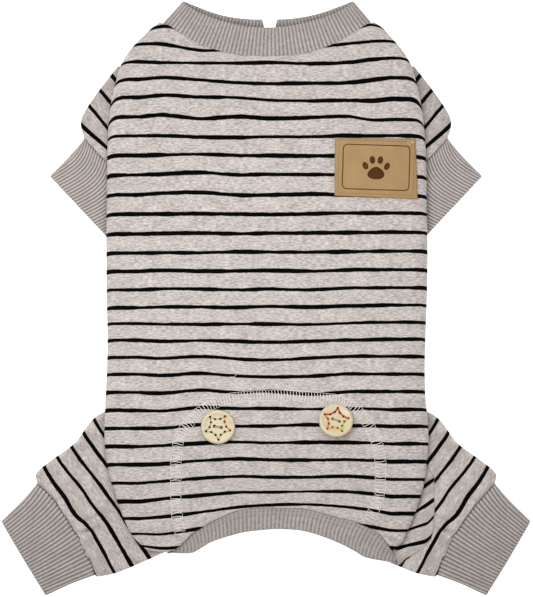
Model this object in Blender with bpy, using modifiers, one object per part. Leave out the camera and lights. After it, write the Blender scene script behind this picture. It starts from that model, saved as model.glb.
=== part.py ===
"""Dog jumpsuit, lying flat on its belly with the neck at +Y and the back up.

Metres. The garment is a flattened tube of striped jersey (back_panel over belly_panel) with four limb tubes
that come out from under the back's side edges, and ribbed knit at the neck, the cuffs and the rear opening.
Every plan curve is a short table in shares: across = x over half the body width, along = y over the length.
"""

import math

import bpy
import numpy as np
from mathutils import Matrix, Vector

# Driving sizes
BODY_WIDTH = 0.1696
LENGTH = 0.3148
BACK_RISE = 0.0200
SIDE_RISE = 0.0100
JERSEY = 0.0012
RIB_KNIT = 0.0018
GAP = 0.0003
RIB_PITCH = 0.0042
RIB_DEPTH = 0.0004
COLLAR_HEIGHT = 0.0147
HEM_HEIGHT = 0.0095
NOTCH_WIDTH = 0.0080
NOTCH_DEPTH = 0.0044
PATCH_WIDTH = 0.0430
PATCH_HEIGHT = 0.0313
PATCH_THICKNESS = 0.0013
PATCH_TURN = math.radians(-1.8)
PATCH_AT = (0.685, 0.2197)
BUTTON_DIAMETER = 0.0180
BUTTON_THICKNESS = 0.0026
BUTTON_HOLE = 0.0018
BUTTON_HOLE_SPACING = 0.0036

# Plan curves, from the middle outwards: across, along
NECK_BACK = (
    (0.000, 0.4080), (0.150, 0.4095), (0.280, 0.4150), (0.430, 0.4285), (0.560, 0.4480), (0.640, 0.4610),
    (0.685, 0.4650),
)
NECK_BELLY = (
    (0.000, 0.4235), (0.150, 0.4250), (0.280, 0.4290), (0.430, 0.4380), (0.560, 0.4520), (0.640, 0.4615),
    (0.685, 0.4650),
)
HEM_BACK = (
    (0.000, -0.3520), (0.100, -0.3530), (0.190, -0.3565), (0.300, -0.3680), (0.415, -0.3850),
    (0.500, -0.3998), (0.580, -0.4150), (0.640, -0.4210), (0.700, -0.4225), (0.750, -0.4217),
)
HEM_BELLY = (
    (0.000, -0.2214), (0.120, -0.2250), (0.230, -0.2380), (0.350, -0.2700), (0.440, -0.3120),
    (0.505, -0.3560), (0.550, -0.3900), (0.600, -0.4100), (0.680, -0.4190), (0.750, -0.4217),
)

# Free edges of the ribbed rings: across, and how far past the middle of the back's seam, in band heights
COLLAR_BACK = (
    (0.000, 1.000), (0.120, 1.040), (0.200, 1.140), (0.280, 1.250), (0.360, 1.410), (0.440, 1.620),
    (0.500, 1.830), (0.560, 2.000),
)
COLLAR_BELLY = (
    (0.000, 1.318), (0.120, 1.335), (0.200, 1.390), (0.280, 1.480), (0.360, 1.620), (0.440, 1.800),
    (0.500, 1.930), (0.560, 2.050),
)
BAND_BACK = (
    (0.000, 1.000), (0.120, 1.040), (0.210, 1.160), (0.280, 1.400), (0.380, 1.880), (0.460, 2.280),
    (0.520, 2.400), (0.600, 2.450),
)
BAND_BELLY = (
    (0.000, -3.250), (0.100, -3.080), (0.190, -2.600), (0.280, -1.600), (0.350, -0.400), (0.410, 0.800),
    (0.460, 1.650), (0.520, 2.200), (0.600, 2.450),
)

# Side edge from the neck corner, over the shoulder, down to the rump corner: along, across
SIDE = (
    (0.4650, 0.685), (0.4540, 0.748), (0.4280, 0.835), (0.3960, 0.898), (0.3590, 0.942), (0.3170, 0.974),
    (0.2500, 0.992), (0.1500, 0.998), (0.0000, 1.000), (-0.1790, 1.000), (-0.2630, 1.012),
    (-0.3140, 0.972), (-0.3580, 0.915), (-0.4030, 0.822), (-0.4217, 0.750),
)

# Cross-section of each panel, from the middle out and round the fold: across (share of the half width),
# rise (share of the panel's own height above or below the side seam)
BACK_PROFILE = (
    (0.000, 1.000), (0.200, 0.998), (0.420, 0.988), (0.620, 0.965), (0.780, 0.925), (0.880, 0.860),
    (0.940, 0.760), (0.975, 0.610), (0.995, 0.400), (1.000, 0.220), (0.993, 0.090), (0.972, 0.000),
)
BELLY_PROFILE = (
    (0.000, 0.000), (0.250, 0.000), (0.500, 0.000), (0.700, 0.000), (0.800, 0.015), (0.870, 0.090),
    (0.920, 0.240), (0.950, 0.460), (0.965, 0.720), (0.970, 1.000),
)

# Height of the back's middle along the body: down (0 neck seam, 1 hem seam), rise (share of BACK_RISE)
BACK_LINE = (
    (0.00, 0.640), (0.06, 0.730), (0.14, 0.850), (0.26, 0.950), (0.45, 1.000), (0.65, 0.990),
    (0.80, 0.930), (0.90, 0.820), (1.00, 0.660),
)

# Soft folds of the back: across, along, half length across, half length along, turn in degrees, rise in metres
FOLDS = (
    (-0.720, 0.330, 0.200, 0.020, 24.0, 0.0007),
    (-0.560, 0.235, 0.300, 0.018, 8.0, -0.0006),
    (0.640, 0.320, 0.240, 0.020, -20.0, 0.0006),
    (0.300, 0.110, 0.420, 0.022, -4.0, -0.0005),
    (-0.360, -0.020, 0.460, 0.024, 5.0, 0.0005),
    (0.420, -0.110, 0.420, 0.020, 7.0, -0.0005),
    (-0.640, -0.300, 0.220, 0.022, -30.0, 0.0006),
    (0.620, -0.290, 0.220, 0.022, 28.0, 0.0006),
)

# Limb tubes, one row per section from inside the body outwards. out/up is the section's outer end, inn/low its
# inner one (across, along); rise is a share of the room under the side seam; dent sinks the top by so many
# metres at that share of the section
SLEEVE = (
    dict(out=0.905, up=0.3930, inn=0.590, low=0.2100, rise=0.95, dent=0.0, at=0.5),
    dict(out=1.020, up=0.3530, inn=0.670, low=0.1860, rise=0.98, dent=-0.0006, at=0.25),
    dict(out=1.117, up=0.3170, inn=0.725, low=0.1680, rise=0.99, dent=0.0, at=0.3),
    dict(out=1.156, up=0.2950, inn=0.760, low=0.1610, rise=1.00, dent=-0.0005, at=0.2),
)
SLEEVE_CUFF = (
    dict(out=1.138, up=0.2700, inn=0.776, low=0.1580, rise=0.97, dent=0.0, at=0.5),
    dict(out=1.218, up=0.2440, inn=0.880, low=0.1290, rise=0.99, dent=0.0, at=0.5),
    dict(out=1.340, up=0.2080, inn=0.995, low=0.0980, rise=0.96, dent=0.0, at=0.5),
)
LEG = (
    dict(out=0.925, up=-0.1790, inn=0.640, low=-0.4180, rise=0.88, dent=0.0, at=0.5),
    dict(out=1.085, up=-0.2020, inn=0.672, low=-0.4240, rise=0.93, dent=-0.0008, at=0.12),
    dict(out=1.190, up=-0.2430, inn=0.800, low=-0.4440, rise=0.98, dent=0.0, at=0.5),
    dict(out=1.320, up=-0.2700, inn=0.930, low=-0.4550, rise=1.14, dent=-0.0009, at=0.62),
    dict(out=1.430, up=-0.2930, inn=1.045, low=-0.4625, rise=1.08, dent=-0.0004, at=0.4),
)
LEG_CUFF = (
    dict(out=1.432, up=-0.3070, inn=1.070, low=-0.4610, rise=1.00, dent=0.0, at=0.5),
    dict(out=1.542, up=-0.3390, inn=1.222, low=-0.4780, rise=1.04, dent=0.0, at=0.5),
    dict(out=1.656, up=-0.3700, inn=1.380, low=-0.4990, rise=0.98, dent=0.0, at=0.5),
)

# Room cut out of the belly panel round a limb's root: across, along
ARM_ROOM = (
    (0.870, 0.430), (0.880, 0.3960), (0.576, 0.2080), (0.740, 0.1530), (1.020, 0.0830), (1.300, 0.083),
    (1.300, 0.430),
)
LEG_ROOM = (
    (1.300, -0.165), (0.935, -0.1650), (0.665, -0.3720), (0.500, -0.3720), (0.500, -0.460),
    (1.300, -0.460),
)

FABRIC = (0.62, 0.56, 0.54, 1.0)
RIBBING = (0.36, 0.32, 0.30, 1.0)
LEATHER = (0.46, 0.31, 0.15, 1.0)
WOOD = (0.80, 0.69, 0.38, 1.0)


def clear_scene():
    for thing in list(bpy.data.objects):
        bpy.data.objects.remove(thing, do_unlink=True)
    for group in list(bpy.data.collections):
        bpy.data.collections.remove(group)


def new_collection(name):
    group = bpy.data.collections.new(name)
    bpy.context.scene.collection.children.link(group)
    return group


def material(name, colour, roughness):
    finish = bpy.data.materials.new(name)
    finish.use_nodes = True
    finish.diffuse_color = colour
    shader = finish.node_tree.nodes["Principled BSDF"]
    shader.inputs["Base Color"].default_value = colour
    shader.inputs["Roughness"].default_value = roughness
    return finish


def add_mesh(name, points, faces, group, finish=None, angle=40.0):
    mesh = bpy.data.meshes.new(name)
    mesh.from_pydata([tuple(p) for p in points], [], faces)
    mesh.update()
    if finish:
        mesh.materials.append(finish)
        mesh.shade_smooth()
        mesh.set_sharp_from_angle(angle=math.radians(angle))
    thing = bpy.data.objects.new(name, mesh)
    group.objects.link(thing)
    return thing


def thicken(thing, thickness):
    """Gives an open surface its wall, on the inner side."""
    wall = thing.modifiers.new("wall", "SOLIDIFY")
    wall.thickness = thickness
    wall.offset = -1.0
    wall.use_rim = True
    return wall


def cut_with(thing, cutter, name):
    cut = thing.modifiers.new(name, "BOOLEAN")
    cut.operation = "DIFFERENCE"
    cut.solver = "EXACT"
    cut.object = cutter
    return cut


def spline(table, at, column=1):
    """Smooth reading of a table at its first column's values."""
    keys = np.array([row[0] for row in table], float)
    values = np.array([row[column] for row in table], float)
    if keys[0] > keys[-1]:
        keys = keys[::-1]
        values = values[::-1]
    slope = np.gradient(values, keys)
    at = np.clip(np.asarray(at, float), keys[0], keys[-1])
    low = np.clip(np.searchsorted(keys, at) - 1, 0, len(keys) - 2)
    span = keys[low + 1] - keys[low]
    t = (at - keys[low]) / span
    before = (1 + 2 * t) * (1 - t) ** 2 * values[low] + t * (1 - t) ** 2 * span * slope[low]
    after = t * t * (3 - 2 * t) * values[low + 1] + t * t * (t - 1) * span * slope[low + 1]
    return before + after


def body_point(share, down, top, bottom):
    """Plan point of a body panel: share across (-1 to 1), down from the neck edge (0) to the hem edge (1)."""
    first = SIDE[0][0]
    last = SIDE[-1][0]
    level = first + down * (last - first)
    half = spline(SIDE, level)
    side = abs(share)
    neck = spline(top, side * top[-1][0]) - top[-1][1]
    hem = spline(bottom, side * bottom[-1][0]) - bottom[-1][1]
    along = level + (1 - down) ** 2 * neck + down ** 2 * hem
    return share * half * BODY_WIDTH / 2, along * LENGTH


def fold_rise(x, y):
    rise = 0.0
    for across, along, wide, long, turn, height in FOLDS:
        dx = x - across * BODY_WIDTH / 2
        dy = y - along * LENGTH
        c = math.cos(math.radians(turn))
        s = math.sin(math.radians(turn))
        u = (dx * c + dy * s) / (wide * BODY_WIDTH / 2)
        v = (dy * c - dx * s) / (long * LENGTH)
        rise += height * math.exp(-u * u - v * v)
    return rise


def back_rise(share, height, down, x, y):
    """Height of the back's outer face for a profile row."""
    top = BACK_RISE * spline(BACK_LINE, down)
    calm = max(0.0, min(1.0, (1 - abs(share)) / 0.15)) * min(1.0, down / 0.1) * min(1.0, (1 - down) / 0.1)
    return SIDE_RISE + (top - SIDE_RISE) * height + calm * fold_rise(x, y)


def back_height(x, y):
    """Height of the back's outer face over a plan point."""
    down = 0.5
    share = 0.0
    span = (SIDE[0][0] - SIDE[-1][0]) * LENGTH
    for _ in range(12):
        level = SIDE[0][0] + down * (SIDE[-1][0] - SIDE[0][0])
        share = x / (spline(SIDE, level) * BODY_WIDTH / 2)
        share = max(-1.0, min(1.0, share))
        here = body_point(share, down, NECK_BACK, HEM_BACK)[1]
        down = max(0.0, min(1.0, down + 0.8 * (here - y) / span))
    height = spline([row for row in BACK_PROFILE if row[1] >= 0.22], abs(share))
    return back_rise(share, float(height), down, x, y)


def grid_faces(rows, columns, closed=False, flip=False):
    faces = []
    for i in range(rows - 1):
        for j in range(columns if closed else columns - 1):
            k = (j + 1) % columns
            face = (i * columns + j, i * columns + k, (i + 1) * columns + k, (i + 1) * columns + j)
            faces.append(face[::-1] if flip else face)
    return faces


def mirrored_columns(profile):
    """Profile rows from the left edge, through the middle, to the right edge."""
    left = [(-share, height) for share, height in profile[:0:-1]]
    return left + list(profile)


def row_places(rows, crowding=0.55):
    """Shares down the body, closer together at the neck and the hem, where the outline turns."""
    even = np.linspace(0.0, 1.0, rows)
    return [float(v) for v in even - crowding * np.sin(2 * math.pi * even) / (2 * math.pi)]


def build_back(group, finish, rows=29):
    columns = mirrored_columns(BACK_PROFILE)
    points = []
    for down in row_places(rows):
        for share, height in columns:
            x, y = body_point(share, down, NECK_BACK, HEM_BACK)
            points.append((x, y, back_rise(share, height, down, x, y)))
    thing = add_mesh("back_panel", points, grid_faces(rows, len(columns), flip=True), group, finish)
    thicken(thing, JERSEY)
    return thing


def build_belly(group, finish, rooms, rows=20):
    columns = mirrored_columns(BELLY_PROFILE)
    points = []
    for down in row_places(rows):
        for share, height in columns:
            x, y = body_point(share, down, NECK_BELLY, HEM_BELLY)
            points.append((x, y, (SIDE_RISE - 2 * GAP) * height))
    thing = add_mesh("belly_panel", points, grid_faces(rows, len(columns)), group, finish)
    thicken(thing, JERSEY)
    for room in rooms:
        cut_with(thing, room, room.name)
    return thing


def build_room(name, table, side, group):
    """Upright prism that cuts the belly panel back from a limb's root."""
    count = len(table)
    points = []
    for level in (-SIDE_RISE, 2 * SIDE_RISE):
        for across, along in table:
            points.append((side * across * BODY_WIDTH / 2, along * LENGTH, level))
    faces = [tuple(range(count))[::-1], tuple(range(count, 2 * count))]
    for j in range(count):
        k = (j + 1) % count
        faces.append((j, k, count + k, count + j))
    if signed_area(points[:count]) < 0:
        faces = [face[::-1] for face in faces]
    return add_mesh(name, points, faces, group)


def signed_area(points):
    total = 0.0
    for first, second in zip(points, points[1:] + points[:1]):
        total += first[0] * second[1] - second[0] * first[1]
    return total / 2


def flat_ring(near, far, samples=6):
    """Closes an upper and a lower line, both running the same way, with a round fold at each end."""
    ring = [Vector(p) for p in near]
    for upper, lower, before in ((near[-1], far[-1], near[-2]), (far[0], near[0], near[1])):
        start = Vector(upper)
        end = Vector(lower)
        middle = (start + end) / 2
        outward = Vector(near[-1]) - Vector(before) if upper is near[-1] else Vector(near[0]) - Vector(before)
        outward.z = 0
        reach = outward.normalized() * abs(start.z - end.z) / 2
        for step in range(1, samples):
            turn = math.pi * step / samples
            ring.append(middle + (start - middle) * math.cos(turn) + reach * math.sin(turn))
        if upper is near[-1]:
            ring.extend(Vector(p) for p in reversed(far))
    return ring


def even_ring(ring, count):
    """The same closed line with points at an even spacing."""
    closed = np.array([tuple(p) for p in ring] + [tuple(ring[0])])
    steps = np.linalg.norm(np.diff(closed, axis=0), axis=1)
    along = np.concatenate([[0.0], np.cumsum(steps)])
    at = np.linspace(0.0, along[-1], count, endpoint=False)
    return np.stack([np.interp(at, along, closed[:, axis]) for axis in range(3)], axis=1)


def ribbed(rings, depth):
    """Pushes every second point of matching rings outwards by the rib depth."""
    out = []
    for ring in rings:
        centre = ring.mean(axis=0)
        lead = np.roll(ring, -2, axis=0) - np.roll(ring, 2, axis=0)
        axis = np.cross(ring - centre, lead).sum(axis=0)
        normal = np.cross(lead, axis / np.linalg.norm(axis))
        normal /= np.linalg.norm(normal, axis=1)[:, None]
        push = np.where(np.arange(len(ring)) % 2 == 0, 0.0, -depth)
        out.append(ring + normal * push[:, None])
    return out


def tube(name, rings, wall, group, finish, angle=40.0):
    count = len(rings[0])
    points = [tuple(p) for ring in rings for p in ring]
    thing = add_mesh(name, points, grid_faces(len(rings), count, closed=True), group, finish, angle)
    thicken(thing, wall)
    return thing


def section_ends(row, side):
    outer = Vector((side * row["out"] * BODY_WIDTH / 2, row["up"] * LENGTH, 0.0))
    inner = Vector((side * row["inn"] * BODY_WIDTH / 2, row["low"] * LENGTH, 0.0))
    return outer, inner


def limb_ring(row, side, count, back_off=0.0):
    """One section of a limb: domed on top, flat where it lies on the floor; back_off moves it up the limb."""
    outer, inner = section_ends(row, side)
    rise = row["rise"] * (SIDE_RISE - 3 * GAP)
    run = (inner - outer).normalized()
    shift = Vector((-run.y, run.x, 0.0)) * (-side * back_off)
    width = (inner - outer).length
    fold = 0.36 * rise
    near = []
    far = []
    for step in range(count):
        t = step / (count - 1)
        place = outer + shift + run * (fold + t * (width - 2 * fold))
        dome = 0.72 + 0.28 * math.sin(math.pi * t) ** 0.7
        dent = row["dent"] * math.exp(-(((t - row["at"]) / 0.16) ** 2))
        near.append((place.x, place.y, rise * dome + dent))
        far.append((place.x, place.y, 0.0))
    return flat_ring(near, far)


def facing_out(rings, side):
    """Rings ordered so that the faces between them point outwards."""
    return rings if side > 0 else [ring[::-1] for ring in rings]


def build_limb(name, table, cuff, side, group, finish):
    """Tube of jersey whose last section meets the cuff's first one."""
    rings = [limb_ring(row, side, 10) for row in table]
    rings.append(limb_ring(cuff[0], side, 10, back_off=GAP))
    rings = [np.array([tuple(p) for p in ring]) for ring in rings]
    return tube(name, facing_out(rings, side), JERSEY, group, finish)


def build_cuff(name, table, side, group, finish):
    dense = [limb_ring(row, side, 60) for row in table]
    middle = np.array([tuple(p) for p in dense[len(dense) // 2]])
    girth = np.linalg.norm(middle - np.roll(middle, 1, axis=0), axis=1).sum()
    count = 2 * round(girth / RIB_PITCH)
    rings = ribbed([even_ring(ring, count) for ring in facing_out(dense, side)], RIB_DEPTH)
    return tube(name, rings, RIB_KNIT, group, finish, angle=180.0)


def edge_line(curve, profile, end, count, offset, low, high, tuck=0.0):
    """Line beside a panel's neck or hem edge, from left to right, offset along the edge's own normal.

    It follows the panel's own facets, so the gap between the two pieces stays even. low and high are the
    heights of the profile's 0 and 1, and tuck is how far the line's ends dip under the panel."""
    knots = np.array(sorted({share * curve[-1][0] for share, _ in profile}))
    levels = spline(curve, knots)
    shares = np.linspace(-end, end, count)
    across = shares * BODY_WIDTH / 2
    along = np.interp(np.abs(shares), knots, levels) * LENGTH
    slope = np.gradient(along, across)
    length = np.sqrt(1 + slope ** 2)
    x = across - offset * slope / length
    y = along + offset / length
    wide = [row for row in profile if row[0] < 0.965]
    rows = np.array(wide)
    z = low + (high - low) * np.interp(np.abs(shares), rows[:, 0] * curve[-1][0], rows[:, 1])
    t = np.clip((np.abs(shares) / end - 0.7) / 0.3, 0.0, 1.0)
    z = z - tuck * t * t * (3 - 2 * t)
    return [(float(a), float(b), float(c)) for a, b, c in zip(x, y, z)]


def free_line(table, start, height, end, count, rise):
    """Free edge of a ribbed ring, from left to right; start is the seam's own middle."""
    shares = np.linspace(-end, end, count)
    along = start + spline(table, np.abs(shares)) * height
    z = rise(np.abs(shares) / end)
    return [(float(a), float(b), float(c)) for a, b, c in zip(shares * BODY_WIDTH / 2, along, z)]


def band_rings(seam, free, steps=2):
    """Rings from the seam's two lines to the free edge's two lines."""
    rings = []
    for step in range(steps + 1):
        share = step / steps
        near = [Vector(a).lerp(Vector(b), share) for a, b in zip(seam[0], free[0])]
        far = [Vector(a).lerp(Vector(b), share) for a, b in zip(seam[1], free[1])]
        rings.append(flat_ring(near, far, samples=12))
    return rings


def arched(height):
    return lambda t: height * (0.80 + 0.20 * np.sqrt(np.clip(1 - t ** 2, 0, 1)))


def on_floor(t):
    return 0.0 * t


def ribbed_band(name, rings, group, finish, flip):
    middle = np.array([tuple(p) for p in rings[1]])
    girth = np.linalg.norm(middle - np.roll(middle, 1, axis=0), axis=1).sum()
    count = 2 * round(girth / RIB_PITCH)
    even = ribbed([even_ring(ring, count) for ring in rings], RIB_DEPTH)
    even = [ring[::-1] for ring in even] if flip else even
    return tube(name, even, RIB_KNIT, group, finish, angle=180.0)


def build_collar(group, finish, notch):
    rise = BACK_RISE * BACK_LINE[0][1]
    start = NECK_BACK[0][1] * LENGTH
    seam = (
        edge_line(NECK_BACK, BACK_PROFILE, 0.62, 81, 1.5 * GAP, SIDE_RISE, rise),
        edge_line(NECK_BELLY, BELLY_PROFILE, 0.62, 81, 2 * GAP, 0.0, SIDE_RISE - 2 * GAP),
    )
    free = (
        free_line(COLLAR_BACK, start, COLLAR_HEIGHT, 0.485, 81, arched(0.80 * rise)),
        free_line(COLLAR_BELLY, start, COLLAR_HEIGHT, 0.485, 81, on_floor),
    )
    thing = ribbed_band("collar", band_rings(seam, free), group, finish, False)
    cut_with(thing, notch, "split")
    return thing


def build_notch(group):
    """Wedge that splits the collar's belly side at its free edge."""
    mouth = NECK_BACK[0][1] * LENGTH + COLLAR_BELLY[0][1] * COLLAR_HEIGHT
    corners = (
        (-NOTCH_WIDTH * 0.35, mouth - NOTCH_DEPTH),
        (NOTCH_WIDTH * 0.35, mouth - NOTCH_DEPTH),
        (NOTCH_WIDTH * 0.60, mouth + NOTCH_DEPTH),
        (-NOTCH_WIDTH * 0.60, mouth + NOTCH_DEPTH),
    )
    points = [(x, y, z) for z in (-0.002, RIB_KNIT * 1.6) for x, y in corners]
    faces = [(3, 2, 1, 0), (4, 5, 6, 7)]
    faces += [(j, (j + 1) % 4, 4 + (j + 1) % 4, 4 + j) for j in range(4)]
    return add_mesh("notch_cutter", points, faces, group)


def build_hem(group, finish):
    rise = BACK_RISE * BACK_LINE[-1][1]
    start = HEM_BACK[0][1] * LENGTH
    seam = (
        edge_line(HEM_BACK, BACK_PROFILE, 0.560, 81, -2 * GAP, SIDE_RISE, rise, tuck=2.5 * JERSEY),
        edge_line(HEM_BELLY, BELLY_PROFILE, 0.560, 81, -2 * GAP, 0.0, 0.0),
    )
    free = (
        free_line(BAND_BACK, start, -HEM_HEIGHT, 0.515, 81, arched(0.86 * rise)),
        free_line(BAND_BELLY, start, -HEM_HEIGHT, 0.500, 81, on_floor),
    )
    return ribbed_band("hem_band", band_rings(seam, free), group, finish, True)


def build_patch(group, finish, across=9, up=7):
    """Leather rectangle laid on the back."""
    at = Vector((PATCH_AT[0] * BODY_WIDTH / 2, PATCH_AT[1] * LENGTH, 0.0))
    turn = Matrix.Rotation(PATCH_TURN, 3, "Z")
    points = []
    for i in range(up):
        for j in range(across):
            flat = Vector(((j / (across - 1) - 0.5) * PATCH_WIDTH, (i / (up - 1) - 0.5) * PATCH_HEIGHT, 0.0))
            place = at + turn @ flat
            rise = back_height(place.x, place.y) + PATCH_THICKNESS + 1.5 * GAP
            points.append((place.x, place.y, rise))
    thing = add_mesh("patch", points, grid_faces(up, across), group, finish)
    thicken(thing, PATCH_THICKNESS)
    return thing


def build_button(name, across, along, tilt, toward, group, finish, cutters):
    """Turned disc with two thread holes, lying on the back and tipped up on one side by its thread."""
    x = across * BODY_WIDTH / 2
    y = along * LENGTH
    radius = BUTTON_DIAMETER / 2
    axis = Vector((-math.sin(math.radians(toward)), math.cos(math.radians(toward)), 0.0))
    lean = Matrix.Rotation(math.radians(tilt), 4, axis)
    rise = 0.0
    for step in range(24):
        turn = 2 * math.pi * step / 24
        rim = lean @ Vector((radius * math.cos(turn), radius * math.sin(turn), -BUTTON_THICKNESS / 2))
        rise = max(rise, back_height(x + rim.x, y + rim.y) + 1.2 * GAP - rim.z)
    place = Matrix.Translation((x, y, rise)) @ lean
    outline = (
        (0.0, 0.36), (0.62, 0.36), (0.80, 0.50), (0.94, 0.50),
        (1.0, 0.30), (1.0, -0.30), (0.93, -0.50), (0.0, -0.50),
    )
    points = [(share * radius, 0.0, level * BUTTON_THICKNESS) for share, level in outline]
    mesh = bpy.data.meshes.new(name)
    mesh.from_pydata(points, [(j, j + 1) for j in range(len(points) - 1)], [])
    mesh.materials.append(finish)
    thing = bpy.data.objects.new(name, mesh)
    group.objects.link(thing)
    turned = thing.modifiers.new("turned", "SCREW")
    turned.steps = 28
    turned.render_steps = 28
    turned.use_merge_vertices = True
    turned.merge_threshold = 0.00001
    turned.use_smooth_shade = True
    turned.use_normal_calculate = True
    for side in (-1, 1):
        hole = add_cylinder(f"{name}_hole_{side + 1}", BUTTON_HOLE / 2, 3 * BUTTON_THICKNESS, cutters)
        hole.matrix_world = place @ Matrix.Translation((side * BUTTON_HOLE_SPACING / 2, 0.0, 0.0))
        cut_with(thing, hole, hole.name)
    thing.matrix_world = place
    return thing


def add_cylinder(name, radius, height, group, sides=12):
    points = []
    for level in (-height / 2, height / 2):
        for j in range(sides):
            turn = 2 * math.pi * j / sides
            points.append((radius * math.cos(turn), radius * math.sin(turn), level))
    faces = [tuple(range(sides))[::-1], tuple(range(sides, 2 * sides))]
    for j in range(sides):
        k = (j + 1) % sides
        faces.append((j, k, sides + k, sides + j))
    return add_mesh(name, points, faces, group)


def centre_on_floor(suit, cutters):
    """Moves everything so that the suit's box is centred on the origin and rests at z = 0."""
    graph = bpy.context.evaluated_depsgraph_get()
    corners = []
    for thing in suit.objects:
        shape = thing.evaluated_get(graph)
        mesh = shape.to_mesh()
        corners += [shape.matrix_world @ vertex.co for vertex in mesh.vertices]
        shape.to_mesh_clear()
    low = Vector([min(corner[axis] for corner in corners) for axis in range(3)])
    high = Vector([max(corner[axis] for corner in corners) for axis in range(3)])
    away = Vector(((low.x + high.x) / 2, (low.y + high.y) / 2, low.z))
    for thing in list(suit.objects) + list(cutters.objects):
        thing.matrix_world = Matrix.Translation(-away) @ thing.matrix_world


def main():
    clear_scene()
    suit = new_collection("dog_jumpsuit")
    cutters = new_collection("cutters")
    jersey = material("striped_jersey", FABRIC, 0.9)
    knit = material("rib_knit", RIBBING, 0.9)
    leather = material("leather", LEATHER, 0.7)
    wood = material("wood", WOOD, 0.5)

    rooms = []
    for side, word in ((-1, "left"), (1, "right")):
        rooms.append(build_room(f"arm_room_{word}", ARM_ROOM, side, cutters))
        rooms.append(build_room(f"leg_room_{word}", LEG_ROOM, side, cutters))
    build_back(suit, jersey)
    build_belly(suit, jersey, rooms)
    build_collar(suit, knit, build_notch(cutters))
    for side, word in ((-1, "left"), (1, "right")):
        build_limb(f"sleeve_{word}", SLEEVE, SLEEVE_CUFF, side, suit, jersey)
        build_cuff(f"sleeve_cuff_{word}", SLEEVE_CUFF, side, suit, knit)
        build_limb(f"leg_{word}", LEG, LEG_CUFF, side, suit, jersey)
        build_cuff(f"leg_cuff_{word}", LEG_CUFF, side, suit, knit)
    build_hem(suit, knit)
    build_patch(suit, leather)
    build_button("button_left", -0.2988, -0.2150, 0.0, 0.0, suit, wood, cutters)
    build_button("button_right", 0.4344, -0.2042, 18.0, 75.0, suit, wood, cutters)

    centre_on_floor(suit, cutters)
    cutters.hide_render = True
    for thing in cutters.objects:
        thing.hide_render = True
        thing.display_type = "WIRE"


main()
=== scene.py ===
"""Dog jumpsuit of striped jersey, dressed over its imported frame.

Metres, in the frame's own axes: the suit lies flat on its belly, neck towards +Y, back up. Plan curves are
shares of the body (across = x over half the body width, along = y over the length), as in the frame's source.
Tables of stripes, folds, limb seams, the hem band's visible half and the arch are in millimetres.
"""

import math

import bmesh
import bpy
import numpy as np
from bpy.props import FloatProperty, FloatVectorProperty, PointerProperty
from mathutils import Matrix, Vector
from mathutils.bvhtree import BVHTree


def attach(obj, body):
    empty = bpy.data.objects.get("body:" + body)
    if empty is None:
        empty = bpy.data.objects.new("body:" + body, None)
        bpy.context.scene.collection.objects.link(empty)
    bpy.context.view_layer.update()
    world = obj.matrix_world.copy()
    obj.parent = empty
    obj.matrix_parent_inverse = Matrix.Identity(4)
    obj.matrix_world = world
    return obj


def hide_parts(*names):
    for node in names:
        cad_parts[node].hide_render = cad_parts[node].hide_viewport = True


bl_info = {
    "name": "Dog Jumpsuit",
    "version": (1, 0, 0),
    "blender": (4, 5, 0),
    "location": "View3D > Sidebar > Jumpsuit",
    "description": "A striped dog jumpsuit with ribbed cuffs, a leather patch and two wooden buttons",
    "category": "Add Mesh",
}

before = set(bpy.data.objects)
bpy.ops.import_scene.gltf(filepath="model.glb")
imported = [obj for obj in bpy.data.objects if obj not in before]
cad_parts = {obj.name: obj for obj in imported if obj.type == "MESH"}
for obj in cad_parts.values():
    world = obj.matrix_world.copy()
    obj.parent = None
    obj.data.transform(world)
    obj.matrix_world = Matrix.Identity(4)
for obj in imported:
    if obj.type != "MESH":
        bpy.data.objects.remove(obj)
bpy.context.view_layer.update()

MM = 0.001
# The frame's pieces stand this far from the plan tables, because the frame is centred on its box
SHIFT = np.array([0.03 * MM, -0.45 * MM, 0.0])

BODY_WIDTH = 0.1696
LENGTH = 0.3148
BACK_RISE = 0.0200
SIDE_RISE = 0.0100
GAP = 0.0003
COLLAR_HEIGHT = 0.0147
HEM_HEIGHT = 0.0095
NOTCH_WIDTH = 0.0080
NOTCH_DEPTH = 0.0044
PATCH_SIZE = (0.0430, 0.0313)
PATCH_THICKNESS = 1.3 * MM
PATCH_TURN = math.radians(-1.8)
PATCH_AT = (0.685, 0.2197)
BUTTON_DIAMETER = 0.0180
BUTTON_THICKNESS = 0.0026
BUTTON_HOLE = 0.0018
BUTTON_HOLE_SPACING = 0.0036
BUTTON_WELL = 0.34  # level of the button's sunk face, as a share of its thickness

RIB_POINTS = 6  # mesh points round one rib
STITCH_INSET = 1.6 * MM  # from the patch's edge to its stitching
STITCH_SINK = 0.22 * MM
MOTIF_LIFT = 0.045 * MM
PHOTO_ROWS = 597
PIXEL_MM = 0.53
SENSOR = 36.0
SIDES = ((-1, "left"), (1, "right"))

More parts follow.
